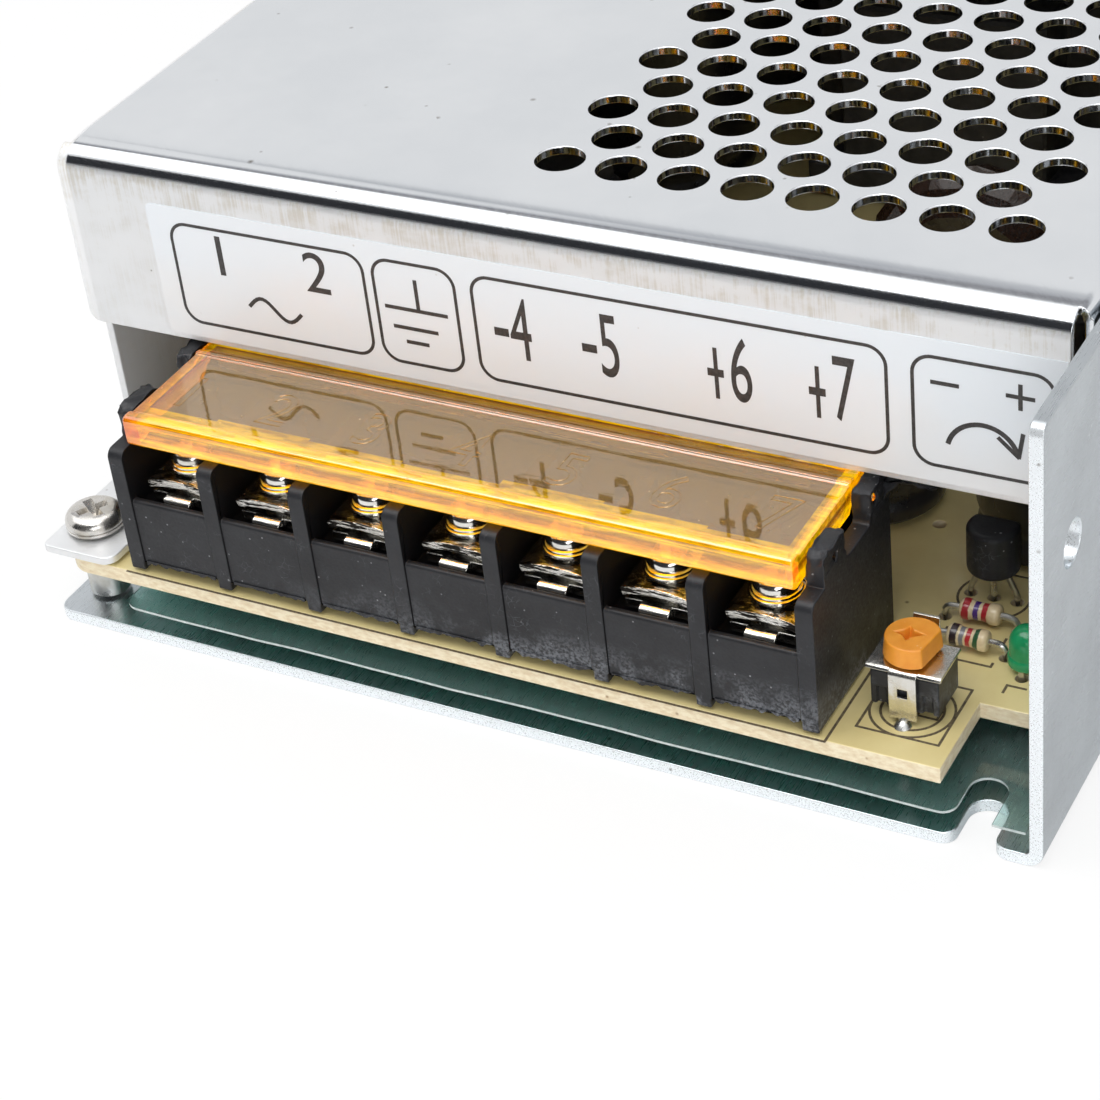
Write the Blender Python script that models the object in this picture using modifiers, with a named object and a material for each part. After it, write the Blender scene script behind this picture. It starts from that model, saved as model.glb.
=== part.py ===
"""Enclosed switching power supply with a seven-way screw terminal block and a hinged lid."""

import math

import bmesh
import bpy
from mathutils import Matrix, Vector

# Clearances, overruns and facets
GAP = 0.0003
OVERRUN = 0.001
WELD = 0.000001
DRAWING_SCALE = 1000
ROUND_FACETS = 16
SCREW_FACETS = 10
VENT_FACETS = 10
WIRE_FACETS = 8
WIRE_RESOLUTION = 1
BEND_STEPS = 3
CORNER_STEPS = 3
ARCH_STEPS = 5
QUARTER_TURN = math.pi / 2
EDGE_PROFILE = 0.5
SMOOTH_ANGLE = math.radians(35)

# Case: overall size, centred on X and Y and standing on Z = 0
CASE_WIDTH = 0.098
CASE_LENGTH = 0.159
CASE_HEIGHT = 0.042

# Base chassis: bottom plate and right wall, folded from one sheet
CHASSIS_SHEET = 0.0012
CHASSIS_BEND = 0.0016
CHASSIS_WALL_DROP = 0.0002
CHASSIS_CORNER = 0.0015
WALL_CORNER = 0.001
NOTCH_WIDTH = 0.0033
NOTCH_DEPTH = 0.0052
NOTCH_INSET = 0.00595
NOTCH_MOUTH_RADIUS = 0.0013
SIDE_HOLE = 0.004
SIDE_HOLE_INSET = 0.0065
SIDE_HOLE_HEIGHT = 0.0275
BOTTOM_HOLE = 0.004
BOTTOM_HOLE_INSET = 0.020
BOTTOM_HOLE_SIDE = 0.030

# Top cover: perforated top, front, right and rear flanges, left wall and foot tabs
COVER_SHEET = 0.0008
COVER_BEND = 0.0012
COVER_SETBACK = 0.0148
COVER_WALL_GAP = 0.0007
COVER_FLOOR_GAP = 0.0003
FRONT_FLANGE_CLEARANCE = 0.0005
FRONT_FLANGE_CHAMFER = 0.0011
RIGHT_FLANGE_DROP = 0.012
TAB_WIDTH = 0.0089
TAB_ROOT = 0.0068
TAB_REACH = 0.016
TAB_SLIT = 0.0006
TAB_SLIT_RISE = 0.003
TAB_BEND = 0.0011
TAB_CORNER = 0.0018
VENT_DIAMETER = 0.0044
VENT_PITCH = 0.00584
VENT_COLUMNS = 8
VENT_ROWS = 10
VENT_RIGHT_INSET = 0.0115
VENT_FRONT_INSET = 0.01135

# Board, its cut-out at the front right corner, and its standoffs
BOARD_THICKNESS = 0.0016
BOARD_HEIGHT = 0.0046
BOARD_SETBACK = 0.0006
BOARD_LEFT_INSET = 0.0028
BOARD_RIGHT_GAP = 0.0006
BOARD_REAR_INSET = 0.0042
BOARD_CORNER = 0.0025
BOARD_CUT_WIDTH = 0.00695
BOARD_CUT_DEPTH = 0.0089
BOARD_HOLE = 0.0012
BOARD_HOLE_X = 0.077
BOARD_HOLE_Y = 0.032
STANDOFF_FOOT = 0.0056
STANDOFF_NECK = 0.0042
STANDOFF_BORE = 0.0036
STANDOFF_WEB = 0.0012
STANDOFF_SIDE = 0.0043
STANDOFF_FRONT = 0.0044
STANDOFF_REAR = 0.0082
STANDOFF_RIGHT = 0.0045
STANDOFF_RIGHT_FRONT = 0.0233
SCREW_SHANK = 0.003
SCREW_HEAD = 0.0056
SCREW_HEAD_HEIGHT = 0.0017
SCREW_HEAD_CROWN = 0.0005
SCREW_LENGTH = 0.0045
SLOT_WIDTH = 0.0007
SLOT_DEPTH = 0.0008
SLOT_MARGIN = 0.0007
SCREW_CLEARANCE = 0.0003

# Insulating film between the board and the plate
FILM_THICKNESS = 0.00025
FILM_HEIGHT = 0.002
FILM_LEFT = 0.0091
FILM_RIGHT_GAP = 0.0003
FILM_STEP = 0.010
FILM_HOLE_CLEARANCE = 0.0003
FILM_CORNER = 0.0015

# Terminal block housing, measured from its front left corner on the board
TERMINALS = 7
PITCH = 0.0095
BLOCK_INSET = 0.0115
BLOCK_SETBACK = 0.0008
BLOCK_DEPTH = 0.0161
BLOCK_WALL = 0.0016
BLOCK_REAR_WALL = 0.0012
BLOCK_SILL = 0.00795
BLOCK_FLOOR = 0.007
BLOCK_UNDERSIDE = 0.0012
BLOCK_FOOT = 0.0014
BLOCK_PANEL_RECESS = 0.0002
DIVIDER_TOP = 0.0131
DIVIDER_SHOULDER = 0.0009
DIVIDER_REAR_TOP = 0.012
DIVIDER_REAR_STEP = 0.0115
EAR_TOP = 0.0161
EAR_RADIUS = 0.0008
FRONT_EAR_START = 0.0026
FRONT_EAR_END = 0.007
REAR_EAR_START = 0.012
CATCH_HOLE = 0.0012
CATCH_Y = 0.005
CATCH_Z = 0.0146
LUG_REACH = 0.0051
LUG_TOP = 0.0155
LUG_ROOT = 0.0124
LUG_THICKNESS = 0.0012
LUG_KNEE_REACH_SHARE = 0.45
LUG_KNEE_DROP_SHARE = 0.35

# Lid: clear plate with a front rib and end skirts, hinged in the rear ears
LID_PLATE = 0.001
LID_TOP = 0.0162
LID_FRONT = 0.0008
LID_REAR = 0.0156
LID_RIB = 0.0016
LID_RIB_RISE = 0.0003
LID_RIB_BOTTOM = 0.0134
LID_RIB_BEVEL = 0.0004
LID_SKIRT = 0.0009
HINGE_Y = 0.013
HINGE_Z = 0.0151
HINGE_PIN = 0.0007
HINGE_HOLE = 0.0013
SNAP_DIAMETER = 0.0009

# Terminals: contact plate with its pin, arched clamp plate and flanged screw
TERMINAL_SHIFT = 0.0003
TERMINAL_Y = 0.0048
CONTACT_WIDTH = 0.0062
CONTACT_SHEET = 0.001
CONTACT_FRONT = 0.0019
CONTACT_REAR = 0.0125
CONTACT_BEND = 0.0011
TONGUE_WIDTH = 0.0029
TONGUE_TURN = math.radians(60)
PIN_WIDTH = 0.0012
PIN_BELOW_BOARD = 0.001
CLAMP_WIDTH = 0.0068
CLAMP_DEPTH = 0.0052
CLAMP_SHEET = 0.0008
CLAMP_RISE = 0.0005
CLAMP_BORE_DEPTH = 0.0032
TERMINAL_THREAD = 0.0034
TERMINAL_FLANGE = 0.0052
TERMINAL_FLANGE_THICKNESS = 0.0004
TERMINAL_HEAD = 0.0042
TERMINAL_HEAD_HEIGHT = 0.0017
TERMINAL_THREAD_LENGTH = 0.0057
TERMINAL_SLOT = 0.0008
TERMINAL_SLOT_DEPTH = 0.001

# Trimmer, measured from the block's front left corner
TRIMMER_X = 0.0730
TRIMMER_Y = 0.0065
TRIMMER_BODY_WIDTH = 0.0059
TRIMMER_BODY_DEPTH = 0.0044
TRIMMER_BODY_BOTTOM = 0.0012
TRIMMER_FRAME_TOP = 0.0053
TRIMMER_FRAME_WIDTH = 0.0065
TRIMMER_FRAME_DEPTH = 0.0054
TRIMMER_SHEET = 0.0003
TRIMMER_LEG_WIDTH = 0.0024
TRIMMER_LEG_WINDOW = 0.0009
TRIMMER_LEG_WINDOW_Z = 0.0032
TRIMMER_PIN_WIDTH = 0.0008
TRIMMER_STEM = 0.0018
TRIMMER_KNOB = 0.0053
TRIMMER_KNOB_TOP = 0.0046
TRIMMER_KNOB_HEIGHT = 0.0018
TRIMMER_RECESS = 0.0008

# Small parts beside the trimmer, measured from the block's front left corner
RESISTOR_SPAN = 0.0065
RESISTOR_LENGTH = 0.0036
RESISTOR_DIAMETER = 0.0019
RESISTOR_WAIST = 0.0016
RESISTOR_CAP = 0.0009
RESISTOR_NECK = 0.0012
RESISTOR_RISE = 0.0013
RESISTOR_A_X = 0.0741
RESISTOR_A_Y = 0.0187
RESISTOR_B_X = 0.0744
RESISTOR_B_Y = 0.0150
LEAD_DIAMETER = 0.0006
LEAD_BELOW_BOARD = 0.001
LEAD_BEND = 0.0006
TRANSISTOR_X = 0.0738
TRANSISTOR_Y = 0.0226
TRANSISTOR_DIAMETER = 0.0046
TRANSISTOR_FLAT = 0.0013
TRANSISTOR_BOTTOM = 0.0022
TRANSISTOR_HEIGHT = 0.0046
TRANSISTOR_LEG_PITCH = 0.0021
LAMP_X = 0.0798
LAMP_Y = 0.0142
LAMP_DIAMETER = 0.003
LAMP_BOTTOM = 0.0008
LAMP_HEIGHT = 0.0036
LAMP_RIM = 0.0004
LAMP_LEG_PITCH = 0.0013
LAMP_LEG = 0.0004

# Large parts on the board, measured from the block's front left corner
FRONT_CAPACITOR_X = 0.0750
FRONT_CAPACITOR_Y = 0.0330
FRONT_CAPACITOR_DIAMETER = 0.0125
FRONT_CAPACITOR_HEIGHT = 0.025
BULK_CAPACITOR_X = 0.0110
BULK_CAPACITOR_Y = 0.086
BULK_CAPACITOR_PITCH = 0.0245
BULK_CAPACITOR_DIAMETER = 0.022
BULK_CAPACITOR_CLEARANCE = 0.0035
OUTPUT_CAPACITOR_X = 0.0440
OUTPUT_CAPACITOR_Y = 0.034
OUTPUT_CAPACITOR_PITCH = 0.0145
OUTPUT_CAPACITOR_DIAMETER = 0.0125
OUTPUT_CAPACITOR_HEIGHT = 0.020
CAPACITOR_CRIMP_HEIGHT = 0.0025
CAPACITOR_CRIMP_DEPTH = 0.0005
CAPACITOR_ROUNDING = 0.0008
CHOKE_X = 0.0600
CHOKE_Y = 0.056
CHOKE_RING = 0.0075
CHOKE_WIRE = 0.0035
CHOKE_FACETS = 16
CHOKE_WIRE_FACETS = 8
FUSE_X = 0.0120
FUSE_Y = 0.0250
FUSE_Z = 0.0048
FUSE_LENGTH = 0.020
FUSE_DIAMETER = 0.0046
FUSE_CAP_DIAMETER = 0.0052
FUSE_CAP_LENGTH = 0.0045
FUSE_CLIP_WIDTH = 0.003
FUSE_CLIP_SHEET = 0.0012
FILM_CAPACITOR_X = 0.0120
FILM_CAPACITOR_Y = 0.0370
FILM_CAPACITOR_SIZE = (0.018, 0.0085, 0.0155)
FILM_CAPACITOR_ROUNDING = 0.0008
LINE_CHOKE_X = 0.0110
LINE_CHOKE_Y = 0.0545
LINE_CHOKE_SIZE = (0.020, 0.0065, 0.017)
LINE_CHOKE_WINDOW = (0.011, 0.010)
LINE_CHOKE_COIL = 0.0088
LINE_CHOKE_BASE = 0.0015
RECTIFIER_X = 0.0110
RECTIFIER_Y = 0.0675
RECTIFIER_SIZE = (0.015, 0.0046, 0.0105)
RECTIFIER_CHAMFER = 0.003
TRANSFORMER_X = 0.0450
TRANSFORMER_Y = 0.098
TRANSFORMER_CORE_WIDTH = 0.033
TRANSFORMER_CORE_DEPTH = 0.0127
TRANSFORMER_CLEARANCE = 0.0045
TRANSFORMER_COIL = (0.0225, 0.026, 0.0185)
TRANSFORMER_BASE = (0.030, 0.028, 0.004)
TRANSFORMER_ROUNDING = 0.0005
POWER_WIDTH = 0.010
POWER_BODY_HEIGHT = 0.009
POWER_BODY_THICKNESS = 0.0045
POWER_BODY_BOTTOM = 0.005
POWER_TAB_THICKNESS = 0.0013
POWER_TAB_HEIGHT = 0.0063
POWER_TAB_HOLE = 0.0036
POWER_LEG_PITCH = 0.00254
POWER_LEG_WIDTH = 0.0009
POWER_LEG_SHEET = 0.0005
DIODE_Y = 0.072
POWER_TRANSISTOR_Y = 0.112
CLAMP_BAR_SHEET = 0.0015
CLAMP_BAR_HEIGHT = 0.0075
CLAMP_BAR_OVERHANG = 0.006
CLAMP_SCREW_Y_SHARE = 0.5

# Cover screws through the right wall into the cover's right flange
COVER_SCREW_DROP = 0.0065
COVER_SCREW_FRONT_INSET = 0.045
COVER_SCREW_REAR_INSET = 0.030
COVER_SCREW_LENGTH = 0.0045
COUNTERSINK_DEPTH = 0.0012

# Colours, roughness and metallic values of the finishes
FINISHES = {
    "aluminium": ((0.62, 0.66, 0.69), 0.38, 1),
    "plated_steel": ((0.72, 0.70, 0.67), 0.28, 1),
    "tinned_metal": ((0.80, 0.79, 0.75), 0.25, 1),
    "black_moulding": ((0.035, 0.036, 0.040), 0.45, 0),
    "orange_clear_plastic": ((0.90, 0.45, 0.02), 0.15, 0),
    "board_laminate": ((0.70, 0.58, 0.30), 0.55, 0),
    "clear_film": ((0.55, 0.62, 0.60), 0.12, 0),
    "orange_plastic": ((0.80, 0.24, 0.03), 0.40, 0),
    "resistor_coat": ((0.78, 0.66, 0.48), 0.45, 0),
    "green_lens": ((0.02, 0.35, 0.10), 0.20, 0),
    "black_sleeve": ((0.02, 0.02, 0.025), 0.35, 0),
    "ferrite": ((0.05, 0.05, 0.055), 0.60, 0),
    "yellow_tape": ((0.75, 0.55, 0.08), 0.50, 0),
    "copper_winding": ((0.65, 0.28, 0.10), 0.35, 0),
    "fuse_glass": ((0.75, 0.80, 0.80), 0.10, 0),
}

# Places that several pieces share
CASE_LEFT = -CASE_WIDTH / 2
CASE_RIGHT = CASE_WIDTH / 2
CASE_FRONT = -CASE_LENGTH / 2
CASE_REAR = CASE_LENGTH / 2
WALL_INSIDE = CASE_RIGHT - CHASSIS_SHEET
PLATE_LEFT = CASE_LEFT + COVER_SHEET + GAP
COVER_FRONT = CASE_FRONT + COVER_SETBACK
COVER_RIGHT = WALL_INSIDE - COVER_WALL_GAP
COVER_UNDERSIDE = CASE_HEIGHT - COVER_SHEET
COVER_SCREW_HEIGHT = CASE_HEIGHT - COVER_SCREW_DROP
BOARD_BOTTOM = CHASSIS_SHEET + BOARD_HEIGHT
BOARD_TOP = BOARD_BOTTOM + BOARD_THICKNESS
BOARD_FRONT = CASE_FRONT + BOARD_SETBACK
BOARD_LEFT = CASE_LEFT + BOARD_LEFT_INSET
BOARD_RIGHT = WALL_INSIDE - BOARD_RIGHT_GAP
BOARD_REAR = CASE_REAR - BOARD_REAR_INSET
BLOCK_CORNER = Vector((CASE_LEFT + BLOCK_INSET, CASE_FRONT + BLOCK_SETBACK, BOARD_TOP))
BLOCK_WIDTH = TERMINALS * PITCH
STANDOFF_BOTTOM = CHASSIS_SHEET + GAP
FILM_BOTTOM = CHASSIS_SHEET + FILM_HEIGHT
TAB_BOTTOM = BOARD_TOP + GAP
TAB_TOP = TAB_BOTTOM + COVER_SHEET
CONTACT_TOP = BLOCK_FLOOR + GAP + CONTACT_SHEET
CLAMP_TOP = CONTACT_TOP + GAP + CLAMP_RISE + CLAMP_SHEET
TRIMMER_PLACE = BLOCK_CORNER + Vector((TRIMMER_X, TRIMMER_Y, 0))
NOTCH_X = CASE_RIGHT - NOTCH_INSET
STANDOFFS = (
    (CASE_LEFT + STANDOFF_SIDE, CASE_FRONT + STANDOFF_FRONT, TAB_TOP),
    (BOARD_RIGHT - STANDOFF_RIGHT, CASE_FRONT + STANDOFF_RIGHT_FRONT, BOARD_TOP),
    (CASE_LEFT + STANDOFF_SIDE, CASE_REAR - STANDOFF_REAR, TAB_TOP),
    (BOARD_RIGHT - STANDOFF_RIGHT, CASE_REAR - STANDOFF_REAR, BOARD_TOP),
)


# Scene, collections and materials
def empty_scene():
    for item in list(bpy.data.objects):
        bpy.data.objects.remove(item, do_unlink=True)
    for group in list(bpy.data.collections):
        bpy.data.collections.remove(group)


def new_collection(name):
    group = bpy.data.collections.new(name)
    bpy.context.scene.collection.children.link(group)
    return group


def new_material(name):
    colour, roughness, metallic = FINISHES[name]
    surface = bpy.data.materials.new(name)
    surface.use_nodes = True
    shader = surface.node_tree.nodes["Principled BSDF"]
    shader.inputs["Base Color"].default_value = (*colour, 1)
    shader.inputs["Roughness"].default_value = roughness
    shader.inputs["Metallic"].default_value = metallic
    surface.diffuse_color = (*colour, 1)
    return surface


empty_scene()
PARTS = new_collection("switching_power_supply")
CUTTERS = new_collection("cutters")
MATERIALS = {name: new_material(name) for name in FINISHES}


# Outlines
def arc(centre, radius, start, end, steps):
    """Points along an arc, from one angle to another in degrees."""
    points = []
    for step in range(steps + 1):
        angle = math.radians(start + (end - start) * step / steps)
        points.append((centre[0] + radius * math.cos(angle), centre[1] + radius * math.sin(angle)))
    return points


def rounded(corners):
    """An outline from corners (u, v, radius), with an arc in each corner that has a radius."""
    points = []
    for index, (u, v, radius) in enumerate(corners):
        corner = Vector((u, v))
        if radius == 0:
            points.append((u, v))
            continue
        before = (Vector(corners[index - 1][:2]) - corner).normalized()
        after = (Vector(corners[(index + 1) % len(corners)][:2]) - corner).normalized()
        half = before.angle(after) / 2
        centre = corner + (before + after).normalized() * (radius / math.sin(half))
        first = corner + before * (radius / math.tan(half)) - centre
        last = corner + after * (radius / math.tan(half)) - centre
        start = math.degrees(math.atan2(first.y, first.x))
        turn = math.degrees(math.atan2(last.y, last.x)) - start
        turn = (turn + 180) % 360 - 180
        points += arc(centre, radius, start, start + turn, CORNER_STEPS)
    return points


# Objects
def add_object(name, mesh, finish=None, place=(0, 0, 0)):
    """Puts a mesh in the scene, as a part with its finish or as a cutter without one."""
    item = bpy.data.objects.new(name, mesh)
    item.location = place
    if finish:
        mesh.materials.clear()
        mesh.materials.append(MATERIALS[finish])
        mesh.shade_smooth()
        mesh.set_sharp_from_angle(angle=SMOOTH_ANGLE)
        PARTS.objects.link(item)
    else:
        item.hide_render = True
        item.display_type = "WIRE"
        CUTTERS.objects.link(item)
    return item


def mesh_of(bm, name):
    mesh = bpy.data.meshes.new(name)
    bm.to_mesh(mesh)
    bm.free()
    return mesh


def evaluated_mesh(item):
    """The mesh of an object after its modifiers or its bevel, welded; the object is removed."""
    item.update_tag()
    graph = bpy.context.evaluated_depsgraph_get()
    mesh = bpy.data.meshes.new_from_object(item.evaluated_get(graph))
    mesh.transform(item.matrix_world)
    bpy.data.objects.remove(item, do_unlink=True)
    return mesh


def weld(mesh, distance):
    bm = bmesh.new()
    bm.from_mesh(mesh)
    bmesh.ops.remove_doubles(bm, verts=bm.verts, dist=distance)
    bm.to_mesh(mesh)
    bm.free()
    return mesh


def prism(name, outline, thickness, axis, start):
    """A flat outline with a thickness along an axis. The outline is (y, z), (x, z) or (x, y)."""
    curve = bpy.data.curves.new(name, "CURVE")
    curve.dimensions = "2D"
    curve.fill_mode = "BOTH"
    curve.extrude = thickness * DRAWING_SCALE / 2
    spline = curve.splines.new("POLY")
    spline.points.add(len(outline) - 1)
    for point, (u, v) in zip(spline.points, outline):
        point.co = (u * DRAWING_SCALE, v * DRAWING_SCALE, 0, 1)
    spline.use_cyclic_u = True
    drawing = bpy.data.objects.new(name, curve)
    bpy.context.scene.collection.objects.link(drawing)
    mesh = evaluated_mesh(drawing)
    middle = start + thickness / 2
    turns = {
        "X": Matrix(((0, 0, 1, middle), (1, 0, 0, 0), (0, 1, 0, 0), (0, 0, 0, 1))),
        "Y": Matrix(((1, 0, 0, 0), (0, 0, -1, middle), (0, 1, 0, 0), (0, 0, 0, 1))),
        "Z": Matrix(((1, 0, 0, 0), (0, 1, 0, 0), (0, 0, 1, middle), (0, 0, 0, 1))),
    }
    mesh.transform(turns[axis] @ Matrix.Scale(1 / DRAWING_SCALE, 4))
    return weld(mesh, WELD)


def boxes(name, corners):
    """One mesh with a box for each pair of low and high corners."""
    bm = bmesh.new()
    for low, high in corners:
        size = Vector(high) - Vector(low)
        middle = (Vector(high) + Vector(low)) / 2
        place = Matrix.Translation(middle) @ Matrix.Diagonal((*size, 1))
        bmesh.ops.create_cube(bm, size=1, matrix=place)
    return mesh_of(bm, name)


def rods(name, places, diameter, length, axis="Z", facets=SCREW_FACETS):
    """One mesh with a round bar centred on each place."""
    turns = {
        "X": Matrix.Rotation(QUARTER_TURN, 4, "Y"),
        "Y": Matrix.Rotation(QUARTER_TURN, 4, "X"),
        "Z": Matrix.Identity(4),
    }
    bm = bmesh.new()
    for place in places:
        bmesh.ops.create_cone(
            bm, cap_ends=True, segments=facets, radius1=diameter / 2, radius2=diameter / 2,
            depth=length, matrix=Matrix.Translation(place) @ turns[axis],
        )
    return mesh_of(bm, name)


def turned(name, profile, facets=ROUND_FACETS):
    """A body turned about Z from a profile of (radius, height) that runs from top to bottom."""
    mesh = bpy.data.meshes.new(name)
    edges = [(index, index + 1) for index in range(len(profile) - 1)]
    mesh.from_pydata([(radius, 0, height) for radius, height in profile], edges, [])
    item = bpy.data.objects.new(name, mesh)
    bpy.context.scene.collection.objects.link(item)
    screw = item.modifiers.new("turn", "SCREW")
    screw.steps = facets
    screw.render_steps = facets
    screw.use_merge_vertices = True
    screw.merge_threshold = WELD
    return weld(evaluated_mesh(item), WELD)


def wire(name, path, diameter):
    """A round wire along points, with closed ends."""
    curve = bpy.data.curves.new(name, "CURVE")
    curve.dimensions = "3D"
    curve.bevel_depth = diameter * DRAWING_SCALE / 2
    curve.bevel_resolution = WIRE_RESOLUTION
    curve.use_fill_caps = True
    spline = curve.splines.new("POLY")
    spline.points.add(len(path) - 1)
    for point, place in zip(spline.points, path):
        point.co = (*(Vector(place) * DRAWING_SCALE), 1)
    drawing = bpy.data.objects.new(name, curve)
    bpy.context.scene.collection.objects.link(drawing)
    mesh = evaluated_mesh(drawing)
    mesh.transform(Matrix.Scale(1 / DRAWING_SCALE, 4))
    return weld(mesh, WELD)


def combine(item, mesh, operation):
    """Adds a Boolean to a part, with a cutter object that stands where the part stands."""
    tool = add_object(mesh.name, mesh, place=item.location)
    change = item.modifiers.new(mesh.name, "BOOLEAN")
    change.operation = operation
    change.solver = "EXACT"
    change.object = tool


def cut(item, mesh):
    combine(item, mesh, "DIFFERENCE")


def join(item, mesh):
    combine(item, mesh, "UNION")


def soften(item, width, segments=2):
    edge = item.modifiers.new("rounded_edges", "BEVEL")
    edge.width = width
    edge.segments = segments
    edge.limit_method = "ANGLE"
    edge.angle_limit = SMOOTH_ANGLE


# Sheet metal: an open surface on the outer face, which Solidify then thickens inwards
def flat_sheet(low, high, height):
    """A rectangle in a new bmesh, facing up."""
    bm = bmesh.new()
    half = ((high[0] - low[0]) / 2, (high[1] - low[1]) / 2)
    middle = Vector(((high[0] + low[0]) / 2, (high[1] + low[1]) / 2, height))
    place = Matrix.Translation(middle) @ Matrix.Diagonal((*half, 1, 1))
    bmesh.ops.create_grid(bm, x_segments=1, y_segments=1, size=1, matrix=place)
    return bm


def split_sheet(bm, axis, places):
    """Splits a flat sheet across an axis, so that parts of its edge can be folded alone."""
    normal = Vector((1, 0, 0)) if axis == 0 else Vector((0, 1, 0))
    for place in places:
        geometry = bm.verts[:] + bm.edges[:] + bm.faces[:]
        bmesh.ops.bisect_plane(bm, geom=geometry, plane_co=normal * place, plane_no=normal, dist=WELD)


def border(bm, axis, place):
    """The open edges that lie at a place on an axis."""
    return [
        edge for edge in bm.edges
        if edge.is_boundary and all(abs(vert.co[axis] - place) < WELD for vert in edge.verts)
    ]


def between(edges, axis, low, high):
    """The edges whose middles lie between two places on an axis."""
    chosen = []
    for edge in edges:
        middle = (edge.verts[0].co[axis] + edge.verts[1].co[axis]) / 2
        if low < middle < high:
            chosen.append(edge)
    return chosen


def fold(bm, edges, centre, axis, angle):
    """Bends edges about a line and returns the edges at the end of the bend."""
    verts = list({vert for edge in edges for vert in edge.verts})
    result = bmesh.ops.spin(
        bm, geom=list(edges) + verts, cent=centre, axis=axis, angle=angle, steps=BEND_STEPS,
    )
    return [item for item in result["geom_last"] if isinstance(item, bmesh.types.BMEdge)]


def pull(bm, edges, offset):
    """Extrudes edges by an offset and returns the new ones."""
    result = bmesh.ops.extrude_edge_only(bm, edges=edges)
    verts = {item for item in result["geom"] if isinstance(item, bmesh.types.BMVert)}
    bmesh.ops.translate(bm, vec=offset, verts=list(verts))
    found = [item for item in result["geom"] if isinstance(item, bmesh.types.BMEdge)]
    return [edge for edge in found if all(vert in verts for vert in edge.verts)]


def round_corners(bm, verts, radius):
    bmesh.ops.bevel(
        bm, geom=list(verts), offset=radius, offset_type="OFFSET", segments=CORNER_STEPS,
        profile=EDGE_PROFILE, affect="VERTICES", material=-1,
    )


def verts_near(bm, place):
    return [vert for vert in bm.verts if (vert.co - Vector(place)).length < GAP]


def sheet_part(name, bm, outward, thickness, finish, place=(0, 0, 0)):
    """Turns the surface to face outward and gives it its thickness on the other side."""
    bmesh.ops.recalc_face_normals(bm, faces=bm.faces)
    bm.faces.ensure_lookup_table()
    largest = max(bm.faces, key=lambda face: face.calc_area())
    if largest.normal.dot(Vector(outward)) < 0:
        bmesh.ops.reverse_faces(bm, faces=bm.faces)
    item = add_object(name, mesh_of(bm, name), finish, place)
    wall = item.modifiers.new("sheet", "SOLIDIFY")
    wall.thickness = thickness
    wall.offset = -1
    wall.use_even_offset = True
    return item


# Screws
def screw_mesh(name, shank, head, head_height, crown, length, slot_width, slot_depth):
    """A pan head screw with a cross slot; its head stands on Z = 0 and its shank points down."""
    outer = head / 2
    profile = [
        (0, head_height), (outer - crown * 2, head_height), (outer, head_height - crown * 2),
        (outer, 0), (shank / 2, 0), (shank / 2, -length), (0, -length),
    ]
    item = add_object(name, turned(name, profile, SCREW_FACETS))
    reach = outer - SLOT_MARGIN
    bottom = head_height - slot_depth
    top = head_height + OVERRUN
    half = slot_width / 2
    cut(item, boxes(name + "_slot_across", [((-reach, -half, bottom), (reach, half, top))]))
    cut(item, boxes(name + "_slot_along", [((-half, -reach, bottom), (half, reach, top))]))
    bpy.context.view_layer.update()
    mesh = evaluated_mesh(item)
    mesh.name = name
    return mesh


def small_screw(name, length):
    return screw_mesh(
        name, SCREW_SHANK, SCREW_HEAD, SCREW_HEAD_HEIGHT, SCREW_HEAD_CROWN, length, SLOT_WIDTH, SLOT_DEPTH,
    )


# Base chassis
def notch_outline():
    """The open slot in the front edge: a round end and a rounded mouth."""
    left = NOTCH_X - NOTCH_WIDTH / 2
    right = NOTCH_X + NOTCH_WIDTH / 2
    mouth = NOTCH_MOUTH_RADIUS
    front = CASE_FRONT
    end = front + NOTCH_DEPTH - NOTCH_WIDTH / 2
    points = [(left - mouth, front - OVERRUN)]
    points += arc((left - mouth, front + mouth), mouth, -90, 0, CORNER_STEPS)
    points += arc((NOTCH_X, end), NOTCH_WIDTH / 2, 180, 0, ARCH_STEPS)
    points += arc((right + mouth, front + mouth), mouth, 180, 270, CORNER_STEPS)
    points.append((right + mouth, front - OVERRUN))
    return points


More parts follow.
